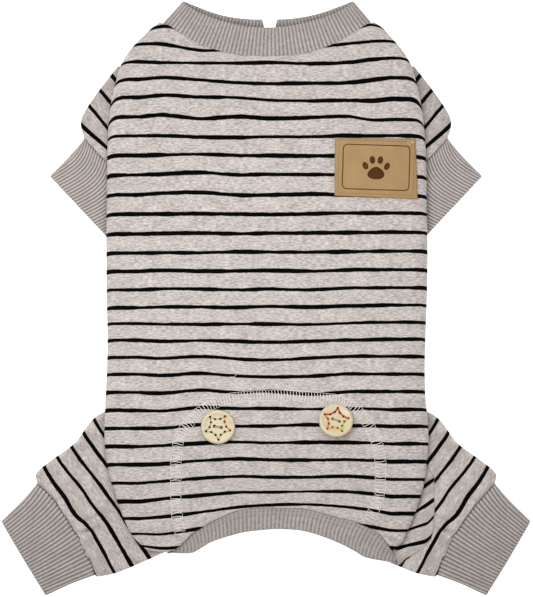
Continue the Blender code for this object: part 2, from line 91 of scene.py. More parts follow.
# Plan curves, from the middle outwards: across, along
NECK_BACK = (
    (0.000, 0.4080), (0.150, 0.4095), (0.280, 0.4150), (0.430, 0.4285), (0.560, 0.4480), (0.640, 0.4610),
    (0.685, 0.4650),
)
NECK_BELLY = (
    (0.000, 0.4235), (0.150, 0.4250), (0.280, 0.4290), (0.430, 0.4380), (0.560, 0.4520), (0.640, 0.4615),
    (0.685, 0.4650),
)
HEM_LEFT = (
    (0.000, -0.3520), (0.100, -0.3536), (0.178, -0.3577), (0.271, -0.3670), (0.339, -0.3754), (0.404, -0.3859),
    (0.462, -0.3956), (0.519, -0.4109), (0.566, -0.4212), (0.620, -0.4262), (0.690, -0.4250), (0.750, -0.4217),
)
HEM_RIGHT = (
    (0.000, -0.3520), (0.120, -0.3527), (0.243, -0.3539), (0.400, -0.3650), (0.467, -0.3697), (0.541, -0.3742),
    (0.616, -0.3820), (0.678, -0.3905), (0.721, -0.3993), (0.756, -0.4110), (0.781, -0.4195), (0.806, -0.4226),
)
HEM_BELLY = (
    (0.000, -0.2214), (0.120, -0.2250), (0.230, -0.2380), (0.350, -0.2700), (0.440, -0.3120),
    (0.505, -0.3560), (0.550, -0.3900), (0.600, -0.4100), (0.680, -0.4190), (0.750, -0.4217),
)

# Free edges of the ribbed rings: across, and how far past the middle of the back's seam, in band heights
COLLAR_BACK = (
    (0.000, 1.000), (0.120, 1.040), (0.200, 1.140), (0.280, 1.250), (0.360, 1.410), (0.440, 1.620),
    (0.500, 1.830), (0.560, 2.000),
)
COLLAR_BELLY = (
    (0.000, 1.318), (0.120, 1.335), (0.200, 1.390), (0.280, 1.480), (0.360, 1.620), (0.440, 1.800),
    (0.500, 1.930), (0.560, 2.050),
)
# The hem band's visible half: its seam and its free edge from the left tip to the right tip, in plan (mm)
BAND_SEAM = (
    (-50.6, -133.8), (-48.0, -132.6), (-44.0, -129.4), (-39.2, -124.6), (-34.3, -121.5), (-28.8, -118.2),
    (-23.0, -115.5), (-15.1, -112.6), (-8.5, -111.4), (0.0, -110.8), (10.1, -110.9), (20.6, -111.6),
    (27.6, -113.2), (33.9, -115.0), (39.6, -116.5), (45.9, -117.8), (52.3, -120.4), (57.5, -122.7),
    (61.2, -125.7), (64.1, -129.6), (66.2, -133.0), (67.8, -136.5), (69.4, -139.1),
)
BAND_FREE = (
    (-51.1, -134.5), (-49.6, -135.0), (-46.2, -135.2), (-41.6, -135.2), (-38.5, -134.7), (-35.5, -133.1),
    (-32.4, -131.2), (-29.4, -129.4), (-24.0, -127.4), (-18.1, -125.6), (-13.6, -124.4), (-8.5, -123.5),
    (-4.2, -123.0), (0.0, -122.6), (4.2, -122.3), (8.5, -122.3), (12.7, -122.5), (18.0, -123.0),
    (24.0, -124.3), (29.2, -126.0), (34.8, -128.1), (40.3, -130.5), (46.3, -133.6), (49.6, -135.7),
    (52.6, -137.2), (56.3, -138.2), (62.6, -139.3), (67.5, -140.5), (70.0, -141.1),
)
# Its half on the floor: across, and how far past the middle of the back's seam, in band heights
BAND_BELLY = (
    (0.000, -3.250), (0.100, -3.080), (0.190, -2.600), (0.280, -1.600), (0.350, -0.400), (0.410, 0.800),
    (0.460, 1.650), (0.520, 2.200), (0.600, 2.450),
)

# Side edges from the neck corner, over the shoulder, down to the rump corner: along, across
SIDE_LEFT = (
    (0.4650, 0.665), (0.4600, 0.688), (0.4540, 0.718), (0.4450, 0.751), (0.4350, 0.790), (0.4250, 0.826),
    (0.4140, 0.858), (0.3960, 0.899), (0.3590, 0.942), (0.3170, 0.974), (0.2500, 0.990), (0.1500, 0.995),
    (0.0000, 0.994), (-0.0730, 0.989), (-0.1300, 0.994), (-0.1790, 1.003), (-0.2630, 1.001), (-0.2950, 0.980),
    (-0.3200, 0.955), (-0.3440, 0.925), (-0.3700, 0.888), (-0.4030, 0.822), (-0.4217, 0.750),
)
SIDE_RIGHT = (
    (0.4650, 0.675), (0.4600, 0.705), (0.4540, 0.733), (0.4450, 0.762), (0.4350, 0.796), (0.4250, 0.828),
    (0.4140, 0.860), (0.3960, 0.900), (0.3590, 0.942), (0.3170, 0.974), (0.2500, 0.997), (0.1500, 1.004),
    (0.0700, 1.008), (0.0000, 1.004), (-0.0500, 0.997), (-0.1300, 0.991), (-0.1700, 0.996), (-0.2000, 1.008),
    (-0.2250, 1.014), (-0.2600, 1.010), (-0.3096, 0.988), (-0.3379, 0.961), (-0.3640, 0.926),
    (-0.3946, 0.878), (-0.4130, 0.842), (-0.4226, 0.806),
)

# Cross-section of each panel, from the middle out and round the fold: across, rise
BACK_PROFILE = (
    (0.000, 1.000), (0.200, 0.998), (0.420, 0.988), (0.620, 0.965), (0.780, 0.925), (0.880, 0.860),
    (0.940, 0.760), (0.975, 0.610), (0.995, 0.400), (1.000, 0.220), (0.993, 0.090), (0.972, 0.000),
)
BELLY_PROFILE = (
    (0.000, 0.000), (0.250, 0.000), (0.500, 0.000), (0.700, 0.000), (0.800, 0.015), (0.870, 0.090),
    (0.920, 0.240), (0.950, 0.460), (0.965, 0.720), (0.970, 1.000),
)

# Height of the back's middle along the body: down (0 neck seam, 1 hem seam), share of BACK_RISE
BACK_LINE = (
    (0.00, 0.640), (0.06, 0.730), (0.14, 0.850), (0.26, 0.950), (0.45, 1.000), (0.65, 0.990),
    (0.80, 0.930), (0.90, 0.820), (1.00, 0.660),
)

# Soft folds of the back: x, y, half length across, half length along (mm), turn in degrees, rise (mm)
FOLDS = (
    (-61.0, 103.5, 17.0, 6.3, 24, 0.70),
    (-47.5, 73.5, 25.4, 5.7, 8, -0.60),
    (54.3, 100.3, 20.3, 6.3, -20, 0.60),
    (25.4, 34.2, 35.6, 6.9, -4, -0.50),
    (-30.5, -6.7, 39.0, 7.5, 5, 0.50),
    (35.6, -35.0, 35.6, 6.3, 7, -0.50),
    (-54.2, -94.8, 18.6, 6.9, -30, 0.60),
    (52.6, -91.7, 18.6, 6.9, 28, 0.60),
    (-20.0, 113.0, 16.0, 3.4, -10, -0.35),
    (38.0, 104.0, 18.0, 3.2, 6, -0.35),
    (-60.0, 40.0, 16.0, 3.6, -5, 0.30),
    (10.0, -80.0, 26.0, 4.2, 2, 0.35),
)

# Limb tubes, one row per section from inside the body outwards. out/up is the section's outer end, inn/low its
# inner one; rise is a share of the room under the side seam
SLEEVE = (
    dict(out=0.925, up=0.3930, inn=0.590, low=0.2100, rise=0.95),
    dict(out=1.040, up=0.3530, inn=0.670, low=0.1860, rise=0.98),
    dict(out=1.129, up=0.3180, inn=0.725, low=0.1680, rise=0.99),
    dict(out=1.160, up=0.2960, inn=0.760, low=0.1610, rise=1.00),
    dict(out=1.138, up=0.2700, inn=0.776, low=0.1580, rise=0.97),
)
SLEEVE_CUFF = (
    dict(out=1.138, up=0.2700, inn=0.776, low=0.1580, rise=0.97),
    dict(out=1.218, up=0.2440, inn=0.872, low=0.1320, rise=0.99),
    dict(out=1.348, up=0.2080, inn=0.982, low=0.1030, rise=0.96),
)
LEG = (
    dict(out=0.925, up=-0.1790, inn=0.625, low=-0.4260, rise=0.88),
    dict(out=1.078, up=-0.2020, inn=0.672, low=-0.4325, rise=0.93),
    dict(out=1.197, up=-0.2430, inn=0.800, low=-0.4480, rise=0.98),
    dict(out=1.330, up=-0.2700, inn=0.930, low=-0.4622, rise=1.10),
    dict(out=1.434, up=-0.2930, inn=1.045, low=-0.4690, rise=1.08),
    dict(out=1.436, up=-0.3100, inn=1.070, low=-0.4667, rise=1.00),
)
LEG_CUFF = (
    dict(out=1.434, up=-0.3115, inn=1.070, low=-0.4667, rise=1.00),
    dict(out=1.522, up=-0.3392, inn=1.222, low=-0.4815, rise=1.04),
    dict(out=1.660, up=-0.3757, inn=1.380, low=-0.5015, rise=0.98),
)

# How far the seam between limb and cuff bends towards the body (mm), by share from its outer end
SLEEVE_SEAM_BOW = ((0.0, 0.0), (0.25, 0.2), (0.40, 1.0), (0.55, 2.0), (0.70, 2.7), (0.85, 3.0), (1.0, 3.0))
LEG_SEAM_BOW = {
    -1: ((0.0, 0.0), (0.116, 2.0), (0.225, 3.2), (0.35, 3.3), (0.46, 3.5), (0.56, 3.3), (0.66, 4.0),
         (0.75, 3.0), (0.83, 2.7), (0.92, 1.6), (1.0, 0.0)),
    1: ((0.0, 0.0), (0.11, 1.1), (0.26, 2.6), (0.39, 3.2), (0.48, 3.4), (0.58, 3.6), (0.64, 4.6), (0.71, 4.5),
        (0.80, 3.2), (0.89, 1.8), (1.0, 0.0)),
}

# Soft folds of a left limb, as in FOLDS; the right limbs take them mirrored
SLEEVE_FOLDS = (
    (-91.0, 98.0, 9.0, 2.2, -50, -0.50),
    (-87.0, 90.0, 10.0, 2.0, -42, 0.40),
)
LEG_FOLDS = (
    (-93.0, -120.6, 5.0, 1.7, 20, 2.20),
    (-91.0, -117.0, 6.0, 1.7, 20, -1.60),
    (-95.0, -124.2, 5.0, 1.9, 10, -1.50),
    (-89.0, -126.0, 3.0, 1.6, -60, 1.10),
    (-93.0, -98.0, 13.0, 4.0, -58, -0.70),
    (-104.0, -104.0, 12.0, 3.2, -60, 0.50),
    (-84.0, -112.0, 9.0, 3.0, -50, 0.60),
    (-88.0, -62.0, 7.0, 1.8, 38, 0.60),
)

# Room cut out of the belly panel round a limb's root: across, along
ARM_ROOM = (
    (0.870, 0.430), (0.880, 0.3960), (0.576, 0.2080), (0.740, 0.1530), (1.020, 0.0830), (1.300, 0.083),
    (1.300, 0.430),
)
LEG_ROOM = (
    (1.300, -0.165), (0.935, -0.1650), (0.665, -0.3720), (0.500, -0.3720), (0.500, -0.460),
    (1.300, -0.460),
)

# The body's stripes from the neck down: y in mm of each stripe's middle, at these places across (mm)
BODY_PLACES = (-66.8, -56.1, -35.0, -13.8, 0.0, 23.4, 44.6, 56.2, 65.8)
BODY_STRIPES = (
    (141.4, 143.6, 139.4, 136.0, 135.0, 136.6, 141.1, 144.5, 141.8),
    (134.4, 134.2, 130.7, 131.3, 131.8, 132.6, 134.6, 135.6, 135.9),
    (124.7, 124.2, 124.2, 124.2, 124.6, 123.9, 124.5, 126.0, 126.8),
    (115.4, 116.3, 115.1, 113.4, 113.0, 113.2, 113.6, 115.0, 116.3),
    (105.8, 106.9, 106.1, 105.7, 104.5, 104.0, 104.2, 103.9, 104.9),
    (95.5, 96.5, 94.5, 95.6, 94.7, 95.1, 95.6, 93.7, 94.0),
    (85.4, 85.5, 84.7, 84.5, 84.9, 84.9, 85.5, 85.6, 85.6),
    (75.1, 75.3, 75.7, 75.1, 75.0, 74.8, 74.9, 74.7, 74.4),
    (64.7, 65.2, 66.1, 64.7, 65.0, 64.9, 64.7, 64.2, 63.7),
    (54.2, 55.0, 55.5, 54.1, 54.1, 54.7, 54.1, 53.9, 53.7),
    (44.0, 44.1, 44.3, 44.0, 43.9, 44.1, 44.7, 44.7, 44.7),
    (33.5, 33.7, 34.0, 33.7, 33.9, 34.1, 34.3, 34.4, 34.5),
    (23.4, 23.7, 23.7, 24.2, 24.1, 24.0, 24.2, 24.4, 24.5),
    (13.9, 14.4, 13.9, 14.1, 14.3, 13.9, 14.6, 14.7, 14.7),
    (4.1, 4.6, 4.6, 4.1, 4.5, 4.1, 5.1, 5.1, 5.2),
    (-5.4, -5.0, -4.9, -5.2, -4.7, -5.0, -4.4, -4.2, -3.9),
    (-13.7, -14.0, -14.1, -13.9, -13.9, -14.2, -13.4, -13.2, -13.0),
    (-22.4, -23.0, -22.7, -23.0, -23.5, -23.0, -22.4, -22.2, -21.9),
    (-31.5, -32.0, -31.0, -32.4, -33.0, -31.9, -30.9, -30.9, -31.0),
    (-40.5, -41.0, -39.9, -41.5, -41.8, -41.5, -40.2, -40.3, -40.4),
    (-50.0, -50.4, -48.8, -50.0, -49.2, -51.1, -49.7, -49.6, -49.5),
    (-59.5, -59.8, -58.0, -58.5, -58.5, -58.8, -58.5, -58.7, -59.1),
    (-69.0, -69.0, -67.0, -67.9, -67.8, -67.0, -67.5, -67.7, -68.0),
    (-78.6, -78.1, -77.0, -76.2, -76.6, -76.4, -76.5, -76.7, -77.1),
    (-88.2, -87.9, -86.1, -85.1, -85.6, -85.8, -85.6, -86.0, -86.6),
    (-98.0, -97.1, -95.5, -94.5, -94.9, -94.9, -94.5, -95.2, -96.1),
    (-107.8, -106.5, -104.6, -103.0, -103.0, -102.5, -102.7, -103.7, -105.1),
    (-116.8, -116.0, -113.5, -110.7, -109.7, -109.3, -110.9, -112.4, -114.2),
    (-125.0, -125.2, -122.1, -118.9, -117.3, -117.3, -119.4, -121.3, -123.2),
    (-131.3, -132.5, -130.6, -127.4, -125.8, -125.8, -127.9, -130.0, -132.2),
)
# How far a body stripe hooks down where the cloth rolls over the side edge: y in mm, drop in mm
SIDE_HOOK = (
    (-140.0, 0.0), (-80.0, 0.4), (40.0, 1.0), (65.0, 1.4), (75.0, 1.8), (85.0, 2.6), (95.0, 5.0),
    (106.0, 4.4), (115.0, 2.8), (125.0, 1.8), (135.0, 0.6),
)
HOOK_REACH = 1.6 * MM

# Limb stripes of a left limb, at places across the limb: distance along it, both in mm from an anchor point
SLEEVE_ANCHOR = (-85.0, 95.0)
SLEEVE_AXIS = (-0.7220, -0.6919)
SLEEVE_PLACES = (-15.1, -4.5, 11.4)
SLEEVE_STRIPES = (
    (-37.5, -37.5, -37.5),
    (-27.7, -27.7, -27.7),
    (-18.2, -17.3, -16.3),
    (-8.3, -7.8, -7.3),
    (1.2, 2.1, 3.6),
    (12.3, 11.7, 10.1),
    (21.4, 20.8, 19.2),
)
LEG_ANCHOR = (-85.0, -85.0)
LEG_AXIS = (-0.8601, -0.5101)
LEG_PLACES = (-14.7, -4.1, 6.5, 17.1, 27.7, 38.3, 54.2)
LEG_STRIPES = (
    (-14.5, -14.9, -15.6, -16.1, -16.6, -16.6, -17.2),
    (-5.1, -5.5, -6.3, -6.8, -7.3, -7.3, -7.9),
    (3.3, 2.2, 1.2, 0.6, -0.2, -0.4, -1.0),
    (12.7, 11.8, 10.3, 9.3, 8.3, 8.0, 7.2),
    (22.1, 21.1, 19.2, 18.6, 17.1, 16.9, 17.3),
    (30.6, 30.5, 29.3, 29.2, 26.2, 26.1, 27.1),
    (39.8, 39.3, 38.3, 37.7, 36.1, 36.1, 37.2),
)
# The gusset at the root of the right leg: its seam in plan (mm), and its own stripes by y at places in x
GUSSET_SEAM = (
    (83.8, -87.1), (89.2, -95.1), (89.3, -107.2), (89.2, -116.5), (88.8, -122.1),
    (87.7, -127.1), (84.6, -131.6), (80.1, -135.1), (74.8, -138.8), (70.5, -142.2),
)
GUSSET_PLACES = (70.0, 75.3, 80.6, 85.9, 89.6)
GUSSET_STRIPES = (
    (-98.2, -95.1, -91.3, -87.6, -85.0),
    (-108.8, -105.7, -102.2, -98.5, -95.9),
    (-120.2, -116.5, -112.8, -109.3, -106.7),
    (-124.7, -122.9, -121.2, -119.2, -115.5),
    (-132.6, -131.4, -130.1, -128.0, -123.7),
    (-143.3, -138.2, -137.7, -137.5, -134.8),
    (-153.9, -148.6, -148.1, -147.5, -144.9),
)

# Middle of the overstitched arch round the rump, from its left foot over the top to its right foot (mm)
ARCH = (
    (-45.2, -125.2), (-45.8, -121.5), (-47.1, -114.1), (-47.7, -96.6), (-47.4, -83.4), (-45.6, -73.9), (-41.3, -67.0),
    (-33.9, -59.5), (-24.9, -54.8), (-16.9, -52.9), (-5.8, -51.9), (5.3, -51.5), (15.9, -51.9),
    (23.1, -52.5), (31.3, -53.2), (38.2, -54.2), (44.6, -56.9), (49.9, -61.4), (54.6, -68.0),
    (58.6, -77.0), (60.3, -86.0), (60.5, -95.6), (59.7, -104.1), (57.3, -112.0), (55.2, -117.2), (54.2, -120.2),
)


def colour_property(name, description, default):
    return FloatVectorProperty(name=name, description=description, subtype="COLOR", size=3, default=default)


def length_property(name, description, default):
    return FloatProperty(name=name, description=description, subtype="DISTANCE", unit="LENGTH", default=default)


class SuitCloth(bpy.types.PropertyGroup):
    ground: colour_property("Jersey", "Ground colour of the jersey", (0.635, 0.580, 0.555))
    fleck: colour_property("Flecks", "Darker fibres in the heathered ground", (0.330, 0.297, 0.282))
    stripe: colour_property("Stripes", "Colour of the stripes", (0.002, 0.002, 0.002))
    stripe_share: FloatProperty(
        name="Stripe share", description="Width of a stripe as a share of the repeat", subtype="FACTOR",
        default=0.218, min=0.02, max=0.9)
    repeat: length_property("Repeat", "Length of cloth from one stripe to the next", 9.8 * MM)
    wall: length_property("Jersey thickness", "Thickness of the jersey", 1.2 * MM)


class SuitKnit(bpy.types.PropertyGroup):
    crest: colour_property("Rib crests", "Colour of the ribs", (0.560, 0.505, 0.478))
    # The colour between the ribs is painted shade in the grooves; the crest colour is the knit's own
    valley_shade: colour_property("Rib valleys", "Colour between the ribs", (0.228, 0.202, 0.188))
    wall: length_property("Knit thickness", "Thickness of the ribbed knit", 1.8 * MM)
    depth: length_property("Rib depth", "Depth between the ribs", 0.42 * MM)
    collar_pitch: length_property("Collar pitch", "Distance between the collar's ribs", 2.0 * MM)
    hem_pitch: length_property("Hem pitch", "Distance between the hem band's ribs", 2.2 * MM)
    sleeve_pitch: length_property("Sleeve cuff pitch", "Distance between the sleeve cuffs' ribs", 1.75 * MM)
    leg_pitch: length_property("Leg cuff pitch", "Distance between the leg cuffs' ribs", 2.0 * MM)


class SuitTrim(bpy.types.PropertyGroup):
    leather: colour_property("Leather", "Colour of the patch", (0.425, 0.262, 0.112))
    ink: colour_property("Motif", "Colour of the motif on the patch", (0.085, 0.032, 0.010))
    wood: colour_property("Wood", "Colour of the buttons", (0.690, 0.600, 0.415))
    thread: colour_property("Overstitching", "Colour of the overstitched arch", (0.990, 0.955, 0.850))
    thread_width: length_property("Thread", "Diameter of the overstitching's thread", 0.32 * MM)
    stitch_pitch: length_property("Stitch pitch", "Distance from one overstitch to the next", 1.6 * MM)
    stitch_width: length_property("Stitch width", "Width of the overstitching", 5.4 * MM)


class SuitStage(bpy.types.PropertyGroup):
    floor: colour_property("Floor", "Colour of the floor", (0.93, 0.93, 0.93))
    distance: length_property("Camera height", "Height of the camera above the floor", 2.4)
    soft_light: FloatProperty(
        name="Soft light", description="Strength of the light from all round", default=0.43, min=0.0)
    key_light: FloatProperty(
        name="Key light", description="Power of the large lamp above the back", unit="POWER", default=1.42, min=0.0)


def read_spline(keys, values, at):
    """Smooth reading of values at increasing keys."""
    keys = np.asarray(keys, float)
    values = np.asarray(values, float)
    slope = np.gradient(values, keys)
    at = np.clip(np.asarray(at, float), keys[0], keys[-1])
    low = np.clip(np.searchsorted(keys, at) - 1, 0, len(keys) - 2)
    span = keys[low + 1] - keys[low]
    t = (at - keys[low]) / span
    before = (1 + 2 * t) * (1 - t) ** 2 * values[low] + t * (1 - t) ** 2 * span * slope[low]
    after = t * t * (3 - 2 * t) * values[low + 1] + t * t * (t - 1) * span * slope[low + 1]
    return before + after


def spline(table, at, column=1):
    keys = [row[0] for row in table]
    values = [row[column] for row in table]
    if keys[0] > keys[-1]:
        keys.reverse()
        values.reverse()
    return read_spline(keys, values, at)


def smooth_step(t):
    t = np.clip(t, 0.0, 1.0)
    return t * t * (3 - 2 * t)


def travelled(steps):
    """Length travelled at each point of a line, from the lengths of its steps."""
    return np.concatenate([[0.0], np.cumsum(steps)])


def placed(name, data):
    """New object of the data, in the scene."""
    thing = bpy.data.objects.new(name, data)
    bpy.context.scene.collection.objects.link(thing)
    return thing


def folds_rise(folds, x, y, side=1):
    """Summed height of soft folds at plan points; side -1 mirrors the table."""
    rise = np.zeros(np.shape(x))
    for at_x, at_y, wide, long, turn, height in folds:
        angle = math.radians(turn * side)
        dx = x - at_x * side * MM
        dy = y - at_y * MM
        u = (dx * math.cos(angle) + dy * math.sin(angle)) / (wide * MM)
        v = (dy * math.cos(angle) - dx * math.sin(angle)) / (long * MM)
        rise += height * MM * np.exp(-u * u - v * v)
    return rise


def ripple(x, y, size, seed=0.0):
    """Gentle unevenness, about -1 to 1, with waves of about the given size."""
    k = 2 * math.pi / size
    a = np.sin(k * (0.91 * x + 0.42 * y) + 1.3 + seed)
    b = np.sin(k * (0.37 * x - 1.08 * y) + 4.1 + 2 * seed)
    c = np.sin(k * (-0.62 * x + 0.71 * y) * 1.6 + 2.2 + 3 * seed)
    return (a + b + 0.7 * c) / 2.7


def body_plan(share, down, neck, hem_left, hem_right, side_left, side_right):
    """Plan points of a body panel, its left and right halves blended in the middle."""
    share, down = np.broadcast_arrays(share, down)
    side = np.abs(share)
    halves = []
    for hem, edge in ((hem_left, side_left), (hem_right, side_right)):
        first = edge[0][0]
        last = edge[-1][0]
        level = first + down * (last - first)
        half = spline(edge, level)
        top = spline(neck, side * neck[-1][0]) - neck[-1][1]
        bottom = spline(hem, side * hem[-1][0]) - hem[-1][1]
        halves.append((share * half, level + (1 - down) ** 2 * top + down ** 2 * bottom))
    right = smooth_step((share + 0.3) / 0.6)
    across = halves[0][0] * (1 - right) + halves[1][0] * right
    along = halves[0][1] * (1 - right) + halves[1][1] * right
    return across * BODY_WIDTH / 2, along * LENGTH


def back_plan(share, down):
    return body_plan(share, down, NECK_BACK, HEM_LEFT, HEM_RIGHT, SIDE_LEFT, SIDE_RIGHT)


def belly_plan(share, down):
    return body_plan(share, down, NECK_BELLY, HEM_BELLY, HEM_BELLY, SIDE_LEFT, SIDE_LEFT)


def back_rise(share, height, down, x, y):
    top = BACK_RISE * spline(BACK_LINE, down)
    side = np.clip((1 - np.abs(share)) / 0.15, 0, 1)
    calm = side * np.clip(down / 0.08, 0, 1) * np.clip((1 - down) / 0.08, 0, 1)
    wave = folds_rise(FOLDS, x, y) + 0.16 * MM * ripple(x, y, 31 * MM) * (0.4 + 0.6 * side)
    crease = 0.5 * MM * (np.exp(-down / 0.006) + np.exp(-(1 - down) / 0.006))
    return SIDE_RISE + (top - SIDE_RISE) * height + calm * wave - crease * side


def even_profile(profile, count):
    """Profile rows at an even spacing along the cloth, from the left edge over the middle to the right edge."""
    dense = np.linspace(0, len(profile) - 1, 600)
    index = np.arange(len(profile))
    share = read_spline(index, [row[0] for row in profile], dense)
    height = read_spline(index, [row[1] for row in profile], dense)
    run = np.hypot(np.diff(share) * BODY_WIDTH / 2, np.diff(height) * SIDE_RISE)
    length = travelled(run)
    at = np.linspace(0, length[-1], count)
    right = np.stack([np.interp(at, length, share), np.interp(at, length, height)], axis=1)
    left = right[:0:-1] * (-1, 1)
    return np.concatenate([left, right])


def row_places(rows, crowding=0.5):
    even = np.linspace(0.0, 1.0, rows)
    return even - crowding * np.sin(2 * math.pi * even) / (2 * math.pi)


def stripe_count(places, stripes, across, along):
    """Running number of the stripe that passes each point: whole at a stripe's middle."""
    levels = np.stack([read_spline(places, row, across) for row in stripes])
    low = np.clip((levels <= along).sum(axis=0) - 1, 0, len(stripes) - 2)
    column = np.arange(len(across))
    before = levels[low, column]
    after = levels[low + 1, column]
    return low + (along - before) / (after - before)


def body_cloth(x, y, edge=None):
    """Cloth coordinates of the body: millimetres across, and the stripe count. edge is the way to the side edge."""
    drop = 0.0
    if edge is not None:
        drop = spline(SIDE_HOOK, y / MM) * np.exp(-edge / HOOK_REACH)
    levels = [[-v for v in row] for row in BODY_STRIPES]
    count = stripe_count(BODY_PLACES, levels, x / MM, -(y / MM + drop))
    return np.stack([x / MM, count], axis=-1)


def limb_cloth(x, y, side, anchor, axis, places, stripes):
    dx = side * x * -1 / MM - anchor[0]
    dy = y / MM - anchor[1]
    along = dx * axis[0] + dy * axis[1]
    across = dx * -axis[1] + dy * axis[0]
    return np.stack([across, stripe_count(places, stripes, across, along)], axis=-1)


def clean_mesh(name, points, faces, finish, coords=None, smooth=True):
    """Mesh object from arrays. coords gives, for each named layer, a coordinate pair for every face corner."""
    mesh = bpy.data.meshes.new(name)
    mesh.from_pydata([tuple(p) for p in points], [], faces)
    mesh.update()
    for finish_one in finish if isinstance(finish, (list, tuple)) else [finish]:
        mesh.materials.append(finish_one)
    for layer, pairs in (coords or {}).items():
        uv = mesh.uv_layers.new(name=layer)
        uv.data.foreach_set("uv", np.asarray(pairs, np.float32).ravel())
    if smooth:
        mesh.shade_smooth()
    return placed(name, mesh)


def wrapped_grid(rows, columns, closed_rows, closed_columns, flip=False):
    """Faces of a grid, and each corner's unwrapped row and column."""
    i, j = np.meshgrid(
        np.arange(rows if closed_rows else rows - 1), np.arange(columns if closed_columns else columns - 1),
        indexing="ij")
    i = i.ravel()
    j = j.ravel()
    corner_i = np.stack([i, i, i + 1, i + 1], axis=1)
    corner_j = np.stack([j, j + 1, j + 1, j], axis=1)
    if flip:
        corner_i = corner_i[:, ::-1]
        corner_j = corner_j[:, ::-1]
    faces = (corner_i % rows) * columns + corner_j % columns
    return faces, corner_i, corner_j


def grid_normals(grid, closed_columns):
    down = np.gradient(grid, axis=0)
    if closed_columns:
        across = (np.roll(grid, -1, axis=1) - np.roll(grid, 1, axis=1)) / 2
    else:
        across = np.gradient(grid, axis=1)
    normal = np.cross(across, down)
    return normal / np.maximum(np.linalg.norm(normal, axis=2, keepdims=True), 1e-12)


def walled_panel(name, grid, wall, finish, cloth, up):
    """Open panel with its wall on the inner side. up is the outer side's direction in z (1 or -1)."""
    rows, columns, _ = grid.shape
    normal = grid_normals(grid, False)
    middle = normal[rows // 2, columns // 2, 2]
    flip = middle * up < 0
    if flip:
        normal = -normal
    inner = grid - normal * wall
    skin = np.concatenate([grid, inner[::-1]])
    coords = np.concatenate([cloth, cloth[::-1]])
    faces, ci, cj = wrapped_grid(2 * rows, columns, True, False, flip=not flip)
    pairs = coords[ci % (2 * rows), cj]
    sides = []
    side_pairs = []
    for column, back in ((0, False), (columns - 1, True)):
        for i in range(rows - 1):
            quad = [i, i + 1, 2 * rows - 2 - i, 2 * rows - 1 - i]
            if back != (not flip):
                quad = quad[::-1]
            sides.append([q * columns + column for q in quad])
            side_pairs.append([coords[q, column] for q in quad])
    faces = np.concatenate([faces, np.array(sides)])
    pairs = np.concatenate([pairs, np.array(side_pairs)])
    return clean_mesh(name, skin.reshape(-1, 3) + SHIFT, faces.tolist(), finish, {"cloth": pairs})


def segment_ring(near, far, counts, roundness=(1.0, 1.0), samples=24):
    """Closed ring from an upper and a lower line that run the same way, with a fold at each end. The line, each
    fold and the lower line get a fixed number of points, so ribs run straight from ring to ring. roundness says
    how far the first and the last fold stand out, as a share of a half circle."""
    near = np.asarray(near)
    far = np.asarray(far)
    parts = [near]
    ends = ((near[-1], far[-1], near[-2], roundness[1]), (near[0], far[0], near[1], roundness[0]))
    for upper, lower, before, share in ends:
        middle = (upper + lower) / 2
        outward = (upper - before) * (1, 1, 0)
        reach = outward / np.linalg.norm(outward) * abs(upper[2] - lower[2]) / 2 * share
        turn = np.linspace(0, math.pi, samples)[:, None]
        arc = middle + (upper - middle) * np.cos(turn) + reach * np.sin(turn)
        parts.append(arc)
    lines = [parts[0], parts[1], far[::-1], parts[2][::-1]]
    out = []
    for line, count in zip(lines, counts):
        step = np.linalg.norm(np.diff(line, axis=0), axis=1)
        length = travelled(step)
        at = np.linspace(0, length[-1], count, endpoint=False)
        out.append(np.stack([np.interp(at, length, line[:, axis]) for axis in range(3)], axis=1))
    return np.concatenate(out)


def line_length(line):
    return float(np.linalg.norm(np.diff(np.asarray(line), axis=0), axis=1).sum())


def ring_counts(near, far, pitch):
    """Points for the upper line, a fold, the lower line and the other fold, as whole ribs."""
    rise_left = abs(near[0][2] - far[0][2])
    rise_right = abs(near[-1][2] - far[-1][2])
    lengths = (line_length(near), math.pi / 2 * rise_right, line_length(far), math.pi / 2 * rise_left)
    return [max(1, round(length / pitch)) * RIB_POINTS for length in lengths]


def slid_ring(ring, slide):
    """The same closed ring, its points moved along it by a length."""
    closed = np.concatenate([ring, ring[:1]])
    step = np.linalg.norm(np.diff(closed, axis=0), axis=1)
    length = travelled(step)
    at = (length[:-1] + slide) % length[-1]
    return np.stack([np.interp(at, length, closed[:, axis]) for axis in range(3)], axis=1)


